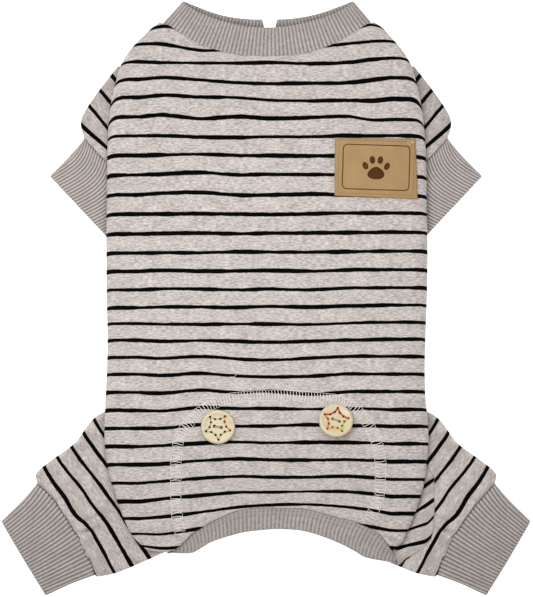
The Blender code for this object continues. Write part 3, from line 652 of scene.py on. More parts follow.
def knit_tube(name, rings, wall, depth, finish, set_back):
    """Ribbed tube with a wall and a rounded free edge. rings run from the seam to the free edge. set_back is the
    share of the rounded edge that lies within the last ring."""
    grid = np.stack(rings)
    run = grid[-1] - grid[-3]
    run /= np.linalg.norm(run, axis=1)[:, None]
    share = smooth_step(np.linspace(-0.6, 1.0, len(rings)))[:, None, None]
    grid = grid - run[None] * share * set_back * wall / 2
    count = grid.shape[1]
    normal = grid_normals(grid, True)
    centre = grid.mean(axis=1, keepdims=True)
    if ((grid - centre) * normal).sum() < 0:
        normal = -normal
    phase = np.arange(count) / RIB_POINTS
    rib = (0.5 + 0.5 * np.cos(2 * math.pi * phase)) ** 0.8
    swell = 1 + 0.10 * np.sin(phase * 2.4) + 0.07 * np.sin(phase * 5.3)
    outer = grid + normal * (depth * (rib * swell - 1))[None, :, None]
    inner = grid - normal * (wall - depth * 0.6 * (1 - rib))[None, :, None]
    half = (outer[-1] - inner[-1]) / 2
    middle = (outer[-1] + inner[-1]) / 2
    reach = run * np.linalg.norm(half, axis=1)[:, None]
    arcs = []
    for step in range(1, 6):
        turn = math.pi * step / 6
        arcs.append(middle + half * math.cos(turn) + reach * math.sin(turn))
    skin = np.concatenate([outer, np.stack(arcs), inner[::-1]])
    along = travelled(np.linalg.norm(np.diff(skin, axis=0), axis=2).mean(axis=1)) / MM
    rows = skin.shape[0]
    faces, ci, cj = wrapped_grid(rows, count, True, True)
    pairs = np.stack([cj / RIB_POINTS, along[ci % rows]], axis=-1)
    points = skin.reshape(-1, 3)
    return faced_out(clean_mesh(name, points + SHIFT, faces.tolist(), finish, {"ribs": pairs}))


def faced_out(thing):
    """Turns every face outwards."""
    work = bmesh.new()
    work.from_mesh(thing.data)
    bmesh.ops.recalc_face_normals(work, faces=work.faces)
    work.to_mesh(thing.data)
    work.free()
    return thing


def table_rows(table, steps):
    """Limb sections at evenly spread places between the table's rows."""
    index = np.arange(len(table))
    at = np.linspace(0, len(table) - 1, steps)
    columns = {key: read_spline(index, [row[key] for row in table], at) for key in table[0]}
    return [{key: float(columns[key][i]) for key in columns} for i in range(steps)]


def limb_lines(row, side, count=120):
    """Upper and lower line of a limb's section, from its outer to its inner end."""
    outer = np.array([side * row["out"] * BODY_WIDTH / 2, row["up"] * LENGTH, 0.0])
    inner = np.array([side * row["inn"] * BODY_WIDTH / 2, row["low"] * LENGTH, 0.0])
    rise = row["rise"] * (SIDE_RISE - 3 * GAP)
    width = np.linalg.norm(inner - outer)
    run = (inner - outer) / width
    fold = 0.36 * rise
    t = np.linspace(0, 1, count)[:, None]
    place = outer + run * (fold + t * (width - 2 * fold))
    dome = 0.72 + 0.28 * np.sin(math.pi * np.clip(t, 0, 1)) ** 0.7
    near = place + rise * dome * (0, 0, 1)
    return near, place


def shaped_limb(table, steps, side, counts, folds, dips, bends, bow):
    """Rings of a limb with its soft folds. dips says which ends sink into a seam, and bow how much of the seam's
    bends the first and the last ring take."""
    shares, bends = np.array(bends).T
    rings = []
    rows = table_rows(table, steps)
    for index, row in enumerate(rows):
        ring = segment_ring(*limb_lines(row, side), counts)
        share = index / (steps - 1)
        outer = np.array([side * row["out"] * BODY_WIDTH / 2, row["up"] * LENGTH])
        inner = np.array([side * row["inn"] * BODY_WIDTH / 2, row["low"] * LENGTH])
        run = inner - outer
        across = np.clip((ring[:, :2] - outer) @ run / (run @ run), 0, 1)
        bend = bow[0] * smooth_step(1 - share / 0.9) + bow[1] * smooth_step((share - 0.35) / 0.65)
        bend = bend * np.interp(across, shares, bends) * MM
        toward = np.array([-run[1], run[0]]) / np.linalg.norm(run) * -side
        if toward[0] * side > 0:
            toward = -toward
        ring[:, :2] += toward * bend[:, None]
        top = smooth_step(ring[:, 2] / (0.5 * SIDE_RISE) - 0.4)
        fold = folds_rise(folds, ring[:, 0], ring[:, 1], -side)
        fold = np.where(fold < 0, fold * smooth_step((ring[:, 2] - 1.5 * MM) / (5 * MM)), fold)
        ring[:, 2] += top * fold
        ring[:, 2] += top * 0.14 * MM * ripple(ring[:, 0], ring[:, 1], 17 * MM, 1.7 * side)
        crease = 0.0
        if dips[0]:
            crease += math.exp(-share * 24)
        if dips[1]:
            crease += math.exp(-(1 - share) * 24)
        ring[:, 2] -= top * 0.55 * MM * crease
        rings.append(ring)
    return rings


def seam_distance(line, x, y):
    """Signed distance in plan to a polyline that runs down: positive on its left side."""
    best = np.full(np.shape(x), 1e9)
    signed = np.zeros(np.shape(x))
    for (ax, ay), (bx, by) in zip(line, line[1:]):
        run = np.array([bx - ax, by - ay])
        length = math.hypot(*run)
        t = np.clip(((x - ax) * run[0] + (y - ay) * run[1]) / length ** 2, 0, 1)
        dx = x - ax - t * run[0]
        dy = y - ay - t * run[1]
        away = np.hypot(dx, dy)
        side = np.sign(run[1] * dx - run[0] * dy)
        nearer = away < best
        signed = np.where(nearer, side * away, signed)
        best = np.minimum(away, best)
    return signed


def jersey_limb(name, rings, wall, finish, layers_of):
    grid = np.stack(rings)
    rows, count, _ = grid.shape
    normal = grid_normals(grid, True)
    centre = grid.mean(axis=1, keepdims=True)
    if ((grid - centre) * normal).sum() < 0:
        normal = -normal
    middle = grid[..., 2].max(axis=1, keepdims=True) / 2
    turned = (grid[..., 2] < 0.3 * MM) & (normal[..., 2] > 0)
    turned |= (grid[..., 2] > 1.2 * middle) & (normal[..., 2] < 0)
    normal[turned] *= -1
    inner = grid - normal * wall
    skin = np.concatenate([grid, inner[::-1]])
    faces, _, _ = wrapped_grid(2 * rows, count, True, True)
    points = skin.reshape(-1, 3) + SHIFT
    plan = np.concatenate([grid, grid[::-1]]).reshape(-1, 3) + SHIFT
    centres = points[faces].mean(axis=1)
    layers = layers_of(plan[faces].reshape(-1, 3), np.repeat(centres, 4, axis=0))
    return faced_out(clean_mesh(name, points, faces.tolist(), finish, layers))


def tube_faces(count, sides, first):
    faces = []
    for i in range(count - 1):
        for j in range(sides):
            k = (j + 1) % sides
            faces.append((first + i * sides + j, first + i * sides + k,
                          first + (i + 1) * sides + k, first + (i + 1) * sides + j))
    faces.append(tuple(first + j for j in range(sides))[::-1])
    faces.append(tuple(first + (count - 1) * sides + j for j in range(sides)))
    return faces


def threads(name, paths, width, finish, sides=6):
    """Short round threads along the given paths, all in one mesh."""
    points = []
    faces = []
    pairs = []
    for path in paths:
        path = np.asarray(path, float)
        run = np.gradient(path, axis=0)
        run /= np.maximum(np.linalg.norm(run, axis=1)[:, None], 1e-9)
        upright = np.abs(run[:, 2:]) > 0.999
        level = np.where(upright, (1.0, 0.0, 0.0), np.cross(run, (0, 0, 1.0)))
        level /= np.maximum(np.linalg.norm(level, axis=1)[:, None], 1e-9)
        upward = np.cross(level, run)
        first = len(points)
        count = len(path)
        thin = np.ones(count)
        thin[0] = thin[-1] = 0.55
        length = travelled(np.linalg.norm(np.diff(path, axis=0), axis=1)) / MM
        for i in range(count):
            for j in range(sides):
                turn = 2 * math.pi * j / sides
                off = level[i] * math.cos(turn) + upward[i] * math.sin(turn)
                points.append(path[i] + off * width / 2 * thin[i])
        new = tube_faces(count, sides, first)
        faces += new
        for face in new:
            for corner in face:
                row, around = divmod(corner - first, sides)
                pairs.append((around / sides, length[row]))
    return clean_mesh(name, points, faces, finish, {"thread": pairs})


def ride(thing, slot, *nodes):
    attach(thing, "root")
    if nodes:
        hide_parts(*nodes)
    return thing


def cloth_ride(thing, slot, node):
    """Rides on the suit: attached to the root body, its frame part hidden."""
    ride(thing, slot, node)


def applied(thing):
    """Bakes the modifiers into the mesh."""
    graph = bpy.context.evaluated_depsgraph_get()
    mesh = bpy.data.meshes.new_from_object(thing.evaluated_get(graph))
    old = thing.data
    thing.modifiers.clear()
    thing.data = mesh
    mesh.name = thing.name
    bpy.data.meshes.remove(old)
    return thing


def cut(thing, cutters):
    for cutter in cutters:
        modifier = thing.modifiers.new("cut", "BOOLEAN")
        modifier.operation = "DIFFERENCE"
        modifier.solver = "EXACT"
        modifier.object = cutter
    applied(thing)
    for cutter in cutters:
        bpy.data.objects.remove(cutter, do_unlink=True)
    return thing


def prism(name, outline, low, high):
    count = len(outline)
    area = sum(a[0] * b[1] - b[0] * a[1] for a, b in zip(outline, outline[1:] + outline[:1]))
    outline = outline if area > 0 else outline[::-1]
    points = [(x, y, z) for z in (low, high) for x, y in outline]
    faces = [tuple(range(count))[::-1], tuple(range(count, 2 * count))]
    faces += [(j, (j + 1) % count, count + (j + 1) % count, count + j) for j in range(count)]
    mesh = bpy.data.meshes.new(name)
    mesh.from_pydata(points, [], faces)
    return placed(name, mesh)


def back_surface():
    """Reader of the dressed back: the height and normal over a plan point."""
    back = bpy.data.objects["jersey_back"]
    tree = BVHTree.FromObject(back, bpy.context.evaluated_depsgraph_get())

    def read(x, y):
        place, normal, _, _ = tree.ray_cast(Vector((x, y, 0.2)), Vector((0, 0, -1)))
        if place is None:
            raise RuntimeError(f"nothing of the back lies under {x:.4f}, {y:.4f}")
        return place, normal

    return read


# Finishes


class Wiring:
    """Small helper that adds shader nodes and links them."""

    def __init__(self, name, colour, roughness):
        self.finish = bpy.data.materials.new(name)
        self.finish.use_nodes = True
        self.tree = self.finish.node_tree
        self.shader = self.tree.nodes["Principled BSDF"]
        self.finish.diffuse_color = (*colour, 1.0)
        self.shader.inputs["Roughness"].default_value = roughness

    def add(self, kind, inputs=(), **settings):
        node = self.tree.nodes.new(kind)
        for key, value in settings.items():
            setattr(node, key, value)
        for key, value in dict(inputs).items():
            if isinstance(value, bpy.types.NodeSocket):
                self.tree.links.new(value, node.inputs[key])
            else:
                node.inputs[key].default_value = value
        return node

    def math(self, operation, first, second=0.0, third=0.0):
        node = self.add("ShaderNodeMath", {0: first, 1: second, 2: third}, operation=operation)
        return node.outputs[0]

    def blend(self, share, first, second):
        return self.math("MULTIPLY_ADD", share, self.math("SUBTRACT", second, first), first)

    def pair(self, layer):
        node = self.add("ShaderNodeUVMap", uv_map=layer)
        parts = self.add("ShaderNodeSeparateXYZ", {0: node.outputs[0]})
        return parts.outputs[0], parts.outputs[1]

    def noise(self, u, v, w, detail=2.0, rough=0.5):
        """Noise over a cell of about one unit of u and v."""
        place = self.add("ShaderNodeCombineXYZ", {0: u, 1: v, 2: w})
        node = self.add(
            "ShaderNodeTexNoise", {"Vector": place.outputs[0], "Scale": 1.0, "Detail": detail, "Roughness": rough})
        return node.outputs[0]

    def ramp(self, value, low, high, first=0.0, last=1.0, smooth=True):
        node = self.add(
            "ShaderNodeMapRange", {0: value, 1: low, 2: high, 3: first, 4: last},
            interpolation_type="SMOOTHSTEP" if smooth else "LINEAR")
        return node.outputs[0]

    def cells(self, u, v, size, seed, detail=2.0, rough=0.5):
        """Noise with cells of about the given size (mm) across and along."""
        return self.noise(self.math("DIVIDE", u, size[0]), self.math("DIVIDE", v, size[1]), seed, detail, rough)

    def sway(self, value, strength, base):
        """base, moved by how far value lies from a half."""
        return self.math("MULTIPLY_ADD", self.math("SUBTRACT", value, 0.5), strength, base)

    def wave(self, turns):
        return self.math("SINE", self.math("MULTIPLY", turns, 2 * math.pi))

    def set(self, values):
        for key, value in values.items():
            self.shader.inputs[key].default_value = value

    def mix(self, share, first, second):
        node = self.add("ShaderNodeMix", data_type="RGBA")
        for socket, value in ((node.inputs[0], share), (node.inputs[6], first), (node.inputs[7], second)):
            if isinstance(value, bpy.types.NodeSocket):
                self.tree.links.new(value, socket)
            elif isinstance(value, (int, float)):
                socket.default_value = value
            else:
                socket.default_value = (*value, 1.0)
        return node.outputs[2]

    def bump(self, height, strength, distance):
        node = self.add("ShaderNodeBump", {"Height": height, "Strength": strength, "Distance": distance})
        self.tree.links.new(node.outputs[0], self.shader.inputs["Normal"])

    def colour(self, socket, key="Base Color"):
        self.tree.links.new(socket, self.shader.inputs[key])

    def rough(self, socket):
        self.colour(socket, "Roughness")


def scaled(colour, share):
    return tuple(min(1.0, c * share) for c in colour)


def tinted(colour, shares):
    return tuple(c * k for c, k in zip(colour, shares))


def jersey_finish(name, cloth, light=1.0, fold_shade=0.0, gusset=False):
    # light scales the whole colour of a piece: painted light and shade, for a piece lit less or more than the back
    ground = scaled(cloth.ground, light)
    w = Wiring(name, ground, 0.9)
    u, count = w.pair("cloth")
    if gusset:
        other_u, other_count = w.pair("gusset")
        seam, _ = w.pair("seam")
        inside = w.math("GREATER_THAN", seam, 0.0)
        u = w.blend(inside, u, other_u)
        count = w.blend(inside, count, other_count)
    v = w.math("MULTIPLY", count, cloth.repeat / MM)
    fleck = w.cells(u, v, (2.4, 0.72), 3.0, 2.0, 0.65)
    blotch = w.cells(u, v, (9.0, 5.0), 7.0, 2.0, 0.5)
    grain = w.cells(u, v, (0.7, 0.7), 11.0, 1.0, 0.5)
    warm = w.cells(u, v, (5.0, 3.0), 17.0, 2.0, 0.5)
    share = w.sway(fleck, 3.2, 0.5)
    share = w.sway(grain, 0.7, share)
    share = w.sway(blotch, 1.0, share)
    share = w.ramp(share, -0.1, 1.1, 0.0, 1.0, False)
    tone = w.mix(share, scaled(cloth.fleck, light), scaled(cloth.ground, 1.22 * light))
    pink = tinted(ground, (1.04, 0.98, 0.97))
    tone = w.mix(w.ramp(warm, 0.40, 0.75, 0.0, 0.35), tone, pink)
    # Painted fold shade: noise patches darken and brown the cloth where fold_shade is set (the limbs), standing in
    # for the shade of soft folds
    if fold_shade:
        fold_shade_patches = w.cells(u, v, (8.0, 5.5), 27.0, 2.0, 0.55)
        fold_shaded_ground = tinted(ground, (0.62, 0.585, 0.53))
        tone = w.mix(w.ramp(fold_shade_patches, 0.38, 0.68, 0.0, fold_shade), tone, fold_shaded_ground)
    sway = w.noise(w.math("DIVIDE", u, 5.0), w.math("MULTIPLY", count, 1.3), 5.0, 2.0)
    fray = w.cells(u, v, (0.6, 0.6), 9.0, 1.0)
    shift = w.math("ADD", w.math("MULTIPLY", w.math("SUBTRACT", sway, 0.5), 0.05),
                   w.math("MULTIPLY", w.math("SUBTRACT", fray, 0.5), 0.030))
    phase = w.math("FRACT", w.math("ADD", w.math("ADD", count, shift), 0.5))
    off = w.math("ABSOLUTE", w.math("SUBTRACT", phase, 0.5))
    wide = w.noise(w.math("DIVIDE", u, 16.0), w.math("MULTIPLY", count, 0.9), 21.0, 1.0)
    half = w.ramp(wide, 0.3, 0.7, 0.40 * cloth.stripe_share, 0.60 * cloth.stripe_share)
    edge = w.math("SUBTRACT", half, off)
    mask = w.ramp(edge, -0.010, 0.014)
    colour = w.mix(mask, tone, cloth.stripe)
    wale = w.math("DIVIDE", u, 0.80)
    slant = w.math("MULTIPLY", w.math("PINGPONG", wale, 0.5), 1.4)
    course = w.wave(w.math("ADD", w.math("DIVIDE", v, 0.62), slant))
    leg = w.math("ABSOLUTE", w.wave(wale))
    knit = w.math("MULTIPLY", w.math("ADD", course, 1.2), leg)
    height = w.math("ADD", w.math("MULTIPLY", knit, 0.5), w.math("MULTIPLY", grain, 0.9))
    if gusset:
        crease = w.ramp(w.math("ABSOLUTE", seam), 0.05, 0.75, 1.0, 0.0)
        height = w.math("MULTIPLY_ADD", crease, -5.0, height)
        # Along the gusset's seam the colour is also darkened: painted shade in the crease, besides the bump
        colour = w.mix(w.math("MULTIPLY", crease, 0.3), colour, scaled(cloth.fleck, 0.5))
    w.colour(colour)
    w.bump(height, 0.45, 0.14 * MM)
    w.rough(w.ramp(grain, 0.3, 0.7, 0.86, 0.98))
    w.colour(w.ramp(mask, 0.0, 1.0, 0.22, 0.02), "Specular IOR Level")
    w.set({"Sheen Weight": 0.02, "Sheen Roughness": 0.5})
    return w.finish


def knit_finish(name, knit, light=1.0, contrast=1.0, stitched=False):
    # light scales the whole colour of a piece as painted light and shade; contrast sets how strongly the grooves
    # between the ribs take painted shade
    w = Wiring(name, knit.crest, 0.9)
    u, v = w.pair("ribs")
    turn = w.math("MULTIPLY", u, 2 * math.pi)
    crest = w.math("MULTIPLY_ADD", w.math("COSINE", turn), 0.5, 0.5)
    grain = w.noise(w.math("MULTIPLY", u, 4.0), w.math("DIVIDE", v, 0.5), 3.0, 1.0)
    fleck = w.noise(w.math("MULTIPLY", u, 1.3), w.math("DIVIDE", v, 1.8), 8.0, 2.0, 0.6)
    blotch = w.cells(u, v, (5.0, 9.0), 5.0, 1.0)
    share = w.math("MULTIPLY_ADD", crest, contrast, 0.5 - contrast / 2)
    share = w.sway(grain, 0.55, share)
    share = w.sway(fleck, 0.75, share)
    # In the stitched zone the painted shade between the ribs is weakened
    if stitched:
        held = w.ramp(v, 2.6, 4.6, 0.45, 0.95)
        share = w.sway(share, held, 0.5)
    share = w.ramp(share, 0.05, 0.92)
    colour = w.mix(share, scaled(knit.valley_shade, light), scaled(knit.crest, light))
    colour = w.mix(w.ramp(blotch, 0.35, 0.7, 0.0, 0.16), colour, scaled(knit.valley_shade, light))
    height = w.math("MULTIPLY", crest, 1.5)
    if stitched:
        # Stitch holes in two rows: sunk by bump, and coloured darker as painted shade in the holes
        near_row = w.math("MINIMUM", w.math("ABSOLUTE", w.math("SUBTRACT", v, 1.2)),
                          w.math("ABSOLUTE", w.math("SUBTRACT", v, 3.1)))
        hole = w.math("MULTIPLY", w.ramp(near_row, 0.15, 0.55, 1.0, 0.0), w.ramp(crest, 0.15, 0.6, 1.0, 0.0))
        colour = w.mix(w.math("MULTIPLY", hole, 0.32), colour, scaled(knit.valley_shade, 0.5))
        height = w.math("MULTIPLY_ADD", hole, -2.0, height)
    w.colour(colour)
    slant = w.math("MULTIPLY", w.math("PINGPONG", w.math("MULTIPLY", u, 2.0), 0.5), 1.2)
    course = w.wave(w.math("ADD", w.math("DIVIDE", v, 0.85), slant))
    height = w.math("ADD", height, w.math("ADD", w.math("MULTIPLY", course, 0.5), grain))
    w.bump(height, 0.5, 0.14 * MM)
    w.rough(w.ramp(grain, 0.3, 0.7, 0.86, 0.97))
    w.set({"Sheen Weight": 0.03, "Sheen Roughness": 0.5, "Specular IOR Level": 0.15})
    return w.finish


def leather_finish(name, trim):
    w = Wiring(name, trim.leather, 0.75)
    u, v = w.pair("leather")
    nap = w.cells(u, v, (0.45, 0.45), 2.0, 3.0, 0.65)
    cloud = w.cells(u, v, (8.0, 8.0), 4.0, 2.0)
    pore = w.cells(u, v, (0.9, 0.9), 6.0, 1.0)
    colour = w.mix(w.ramp(nap, 0.3, 0.75), trim.leather, scaled(trim.leather, 0.72))
    colour = w.mix(w.ramp(cloud, 0.3, 0.7, 0.0, 0.35), colour, scaled(trim.leather, 1.16))
    colour = w.mix(w.ramp(pore, 0.62, 0.75, 0.0, 0.35), colour, scaled(trim.leather, 0.55))
    half = (PATCH_SIZE[0] / 2 / MM, PATCH_SIZE[1] / 2 / MM)
    side_u = w.math("SUBTRACT", half[0], w.math("ABSOLUTE", u))
    side_v = w.math("SUBTRACT", half[1], w.math("ABSOLUTE", v))
    rim = w.ramp(w.math("MINIMUM", side_u, side_v), 0.1, 0.9, 0.30, 0.0)
    w.colour(w.mix(rim, colour, scaled(trim.leather, 0.62)))
    w.bump(w.math("ADD", nap, w.math("MULTIPLY", pore, 0.5)), 0.5, 0.12 * MM)
    w.rough(w.ramp(nap, 0.3, 0.7, 0.68, 0.86))
    w.set({"Sheen Weight": 0.08})
    return w.finish


def wood_finish(name, trim):
    w = Wiring(name, trim.wood, 0.5)
    u, v = w.pair("wood")
    bend = w.cells(u, v, (9.0, 4.0), 1.0, 2.0)
    line = w.math("ADD", w.math("MULTIPLY", v, 1.1), w.math("MULTIPLY", bend, 5.0))
    ring = w.noise(w.math("DIVIDE", u, 12.0), line, 2.0, 2.0, 0.6)
    pore = w.cells(u, v, (1.6, 0.16), 3.0, 1.0)
    colour = w.mix(w.ramp(ring, 0.35, 0.7), trim.wood, tinted(trim.wood, (0.93, 0.86, 0.72)))
    colour = w.mix(w.ramp(pore, 0.6, 0.75, 0.0, 0.4), colour, scaled(trim.wood, 0.66))
    w.colour(colour)
    w.bump(w.math("ADD", ring, pore), 0.2, 0.06 * MM)
    w.rough(w.ramp(pore, 0.4, 0.7, 0.38, 0.6))
    w.set({"Coat Weight": 0.25, "Coat Roughness": 0.3})
    return w.finish


def thread_finish(name, colour, shine=0.0):
    w = Wiring(name, colour, 0.7)
    u, v = w.pair("thread")
    ply = w.wave(w.math("ADD", w.math("MULTIPLY", u, 2.0), w.math("MULTIPLY", v, 2.6)))
    tone = w.noise(w.math("MULTIPLY", u, 2.0), w.math("DIVIDE", v, 0.7), 3.0, 1.0)
    # The twist's grooves are coloured darker: painted shade between the plies
    ply_shaded = w.mix(w.ramp(ply, -0.9, 0.2, 0.45, 0.0), scaled(colour, 1.0), scaled(colour, 0.62))
    w.colour(w.mix(w.ramp(tone, 0.35, 0.7, 0.0, 0.35), ply_shaded, scaled(colour, 1.15)))
    w.bump(ply, 0.4, 0.05 * MM)
    w.rough(w.ramp(tone, 0.3, 0.7, 0.72 - shine, 0.88 - shine))
    w.set({"Specular IOR Level": 0.12, "Sheen Weight": 0.01})
    return w.finish


def ink_finish(name, trim):
    w = Wiring(name, trim.ink, 0.6)
    u, v = w.pair("leather")
    worn = w.cells(u, v, (0.5, 0.5), 5.0, 3.0, 0.65)
    w.colour(w.mix(w.ramp(worn, 0.52, 0.8, 0.0, 0.8), trim.ink, scaled(trim.leather, 0.30)))
    w.bump(worn, 0.3, 0.05 * MM)
    w.rough(w.ramp(worn, 0.3, 0.7, 0.7, 0.9))
    w.set({"Specular IOR Level": 0.08})
    return w.finish


def finish_named(name, make, *details):
    return bpy.data.materials.get(name) or make(name, *details)


def suit():
    scene = bpy.context.scene
    return scene.dog_jumpsuit_cloth, scene.dog_jumpsuit_knit, scene.dog_jumpsuit_trim


# Pieces


class DOGSUIT_OT_back(bpy.types.Operator):
    """Striped back panel, rolling over at both side seams"""

    bl_idname = "dogsuit.back"
    bl_label = "Back panel"

    def execute(self, context):
        cloth, _, _ = suit()
        profile = even_profile(BACK_PROFILE, 76)
        down = row_places(205, 0.4)[:, None]
        share = profile[None, :, 0]
        x, y = back_plan(share, down)
        z = back_rise(share, profile[None, :, 1], down, x, y)
        grid = np.stack([x, y, z], axis=-1)
        flat = grid.reshape(-1, 3) + SHIFT
        reach = np.where(x < 0, x.min(axis=1, keepdims=True), x.max(axis=1, keepdims=True))
        edge = np.abs(reach - x).ravel()
        coords = body_cloth(flat[:, 0], flat[:, 1], edge).reshape(*x.shape, 2)
        finish = finish_named("striped_jersey", jersey_finish, cloth)
        back = walled_panel("jersey_back", grid, cloth.wall, finish, coords, 1)
        cloth_ride(back, "jersey", "back_panel")
        return {"FINISHED"}


class DOGSUIT_OT_belly(bpy.types.Operator):
    """Belly panel that lies on the floor, with its armholes, leg holes and rear opening"""

    bl_idname = "dogsuit.belly"
    bl_label = "Belly panel"

    def execute(self, context):
        cloth, _, _ = suit()
        profile = even_profile(BELLY_PROFILE, 44)
        down = row_places(110, 0.4)[:, None]
        share = profile[None, :, 0]
        x, y = belly_plan(share, down)
        lift = np.broadcast_to(profile[None, :, 1], x.shape)
        z = (SIDE_RISE - 2 * GAP) * lift
        grid = np.stack([x, y, z], axis=-1)
        coords = body_cloth(x.ravel(), y.ravel()).reshape(*x.shape, 2)
        finish = finish_named("striped_jersey", jersey_finish, cloth)
        belly = walled_panel("jersey_belly", grid, cloth.wall, finish, coords, -1)
        rooms = []
        for side in (-1, 1):
            for table in (ARM_ROOM, LEG_ROOM):
                outline = [(side * a * BODY_WIDTH / 2 + SHIFT[0], b * LENGTH + SHIFT[1]) for a, b in table]
                rooms.append(prism("room", outline, -SIDE_RISE, 2 * SIDE_RISE))
        cut(belly, rooms)
        belly.data.shade_smooth()
        cloth_ride(belly, "jersey", "belly_panel")
        return {"FINISHED"}


def band_edge(table, start, height, ends, count):
    """Free edge of a ribbed ring in plan, from its left to its right end. The right half is stretched to its end."""
    share = np.linspace(-ends[0], ends[1], count)
    right = smooth_step((share + 0.15) / 0.3)
    read = np.abs(share) * (1 - right + right * ends[0] / ends[1])
    return share * BODY_WIDTH / 2, start + spline(table, read) * height


def seam_edge(tables, ends, count, offset):
    """Seam line in plan beside a panel's edge, moved off it by offset along its own normal."""
    across = np.linspace(-ends[0], ends[1], count)
    mix = smooth_step((across + 0.15) / 0.3)
    along = spline(tables[0], np.abs(across)) * (1 - mix) + spline(tables[1], np.abs(across)) * mix
    x = across * BODY_WIDTH / 2
    y = along * LENGTH
    slope = np.gradient(y, x)
    length = np.sqrt(1 + slope ** 2)
    return x - offset * slope / length, y + offset / length


def profile_height(profile, half, x, low, high):
    rows = [row for row in profile if row[1] >= 0.22] if profile[0][1] > 0.5 else [r for r in profile if r[0] < 0.965]
    keys = [row[0] for row in rows]
    values = [row[1] for row in rows]
    return low + (high - low) * read_spline(keys, values, np.abs(x) / half)


def arch_height(height, x, ends, low=0.80):
    t = np.where(x < 0, -x / ends[0], x / ends[1]) / (BODY_WIDTH / 2)
    return height * (low + (1 - low) * np.sqrt(np.clip(1 - t ** 2, 0, 1)))


def blended_rings(seam, free, steps, counts, roundness=(1.0, 1.0)):
    """Rings between a seam's two lines and a free edge's two lines."""
    rings = []
    for share in np.linspace(0, 1, steps):
        near = seam[0] * (1 - share) + free[0] * share
        far = seam[1] * (1 - share) + free[1] * share
        rings.append(segment_ring(near, far, counts, roundness))
    return rings


def smooth_line(points, dense_count):
    """Dense smooth line through plan points: x, y and the length travelled."""
    points = np.array(points, float)
    index = np.arange(len(points))
    dense = np.linspace(0, len(points) - 1, dense_count)
    x = read_spline(index, points[:, 0], dense)
    y = read_spline(index, points[:, 1], dense)
    return x, y, travelled(np.hypot(np.diff(x), np.diff(y)))


def even_curve(table, count):
    """Points at an even spacing along the smooth curve through a table of plan points in mm."""
    x, y, length = smooth_line(np.array(table) * MM, 1600)
    at = np.linspace(0, length[-1], count)
    return np.interp(at, length, x), np.interp(at, length, y)


class DOGSUIT_OT_collar(bpy.types.Operator):
    """Ribbed collar, its belly side split by a small notch"""

    bl_idname = "dogsuit.collar"
    bl_label = "Collar"

    def execute(self, context):
        _, knit, _ = suit()
        rise = BACK_RISE * BACK_LINE[0][1]
        start = NECK_BACK[0][1] * LENGTH
        half = NECK_BACK[-1][0] * BODY_WIDTH / 2
        ends = (0.588, 0.602)
        x, y = seam_edge((NECK_BACK, NECK_BACK), ends, 161, -0.2 * MM)
        near = np.stack([x, y, profile_height(BACK_PROFILE, half, x, SIDE_RISE, rise) - 0.5 * MM], axis=1)
        x, y = seam_edge((NECK_BELLY, NECK_BELLY), ends, 161, GAP)
        far = np.stack([x, y, profile_height(BELLY_PROFILE, half, x, 0.0, SIDE_RISE - 2 * GAP)], axis=1)
        free_ends = (0.483, 0.510)
        x, y = band_edge(COLLAR_BACK, start, COLLAR_HEIGHT, free_ends, 161)
        free_near = np.stack([x, y, arch_height(0.80 * rise, x, free_ends)], axis=1)
        x, y = band_edge(COLLAR_BELLY, start, COLLAR_HEIGHT, free_ends, 161)
        free_far = np.stack([x, y, 0 * x], axis=1)
        counts = ring_counts(near * 0.5 + free_near * 0.5, far * 0.5 + free_far * 0.5, knit.collar_pitch)
        rings = blended_rings((near, far), (free_near, free_far), 13, counts)
        # 0.55: strength of the painted shade between the collar's ribs
        finish = finish_named("collar_rib_knit", knit_finish, knit, 1.0, 0.55)
        collar = knit_tube("ribbed_collar", rings, knit.wall, knit.depth * 0.65, finish, 0.3)
        mouth = start + COLLAR_BELLY[0][1] * COLLAR_HEIGHT + SHIFT[1]
        wedge = [
            (-NOTCH_WIDTH * 0.35, mouth - NOTCH_DEPTH), (NOTCH_WIDTH * 0.35, mouth - NOTCH_DEPTH),
            (NOTCH_WIDTH * 0.60, mouth + NOTCH_DEPTH), (-NOTCH_WIDTH * 0.60, mouth + NOTCH_DEPTH),
        ]
        cut(collar, [prism("notch", [(px + 2.0 * MM, py) for px, py in wedge], -2 * MM, 3.2 * MM)])
        collar.data.shade_smooth()
        cloth_ride(collar, "rib_knit", "collar")
        return {"FINISHED"}


class DOGSUIT_OT_hem(bpy.types.Operator):
    """Ribbed band round the rear opening"""

    bl_idname = "dogsuit.hem"
    bl_label = "Hem band"

    def execute(self, context):
        _, knit, _ = suit()
        rise = BACK_RISE * BACK_LINE[-1][1]
        start = HEM_LEFT[0][1] * LENGTH
        t = np.linspace(-1, 1, 241)
        x, y = even_curve(BAND_SEAM, len(t))
        near = np.stack([x, y, rise - 0.7 * MM - 3.0 * MM * t ** 4], axis=1)
        x, y = even_curve(BAND_FREE, len(t))
        free_near = np.stack([x, y, 0.86 * rise - 2.2 * MM * t ** 4], axis=1)
        ends = (0.560, 0.560)
        x, y = seam_edge((HEM_BELLY, HEM_BELLY), ends, len(t), -2 * GAP)
        far = np.stack([x, y, 0 * x], axis=1)
        x, y = band_edge(BAND_BELLY, start, -HEM_HEIGHT, (0.500, 0.500), len(t))
        free_far = np.stack([x, y, 0 * x], axis=1)
        counts = ring_counts(near * 0.6 + free_near * 0.4, far * 0.5 + free_far * 0.5, knit.hem_pitch)
        rings = blended_rings((near, far), (free_near, free_far), 13, counts, (0.35, 0.15))
        # 0.97: painted shade on the hem band; 0.44: strength of the painted shade between its ribs
        finish = finish_named("hem_rib_knit", knit_finish, knit, 0.97, 0.44, True)
        band = knit_tube("ribbed_hem_band", rings, knit.wall, knit.depth * 0.45, finish, 1.0)
        cloth_ride(band, "rib_knit", "hem_band")
        return {"FINISHED"}


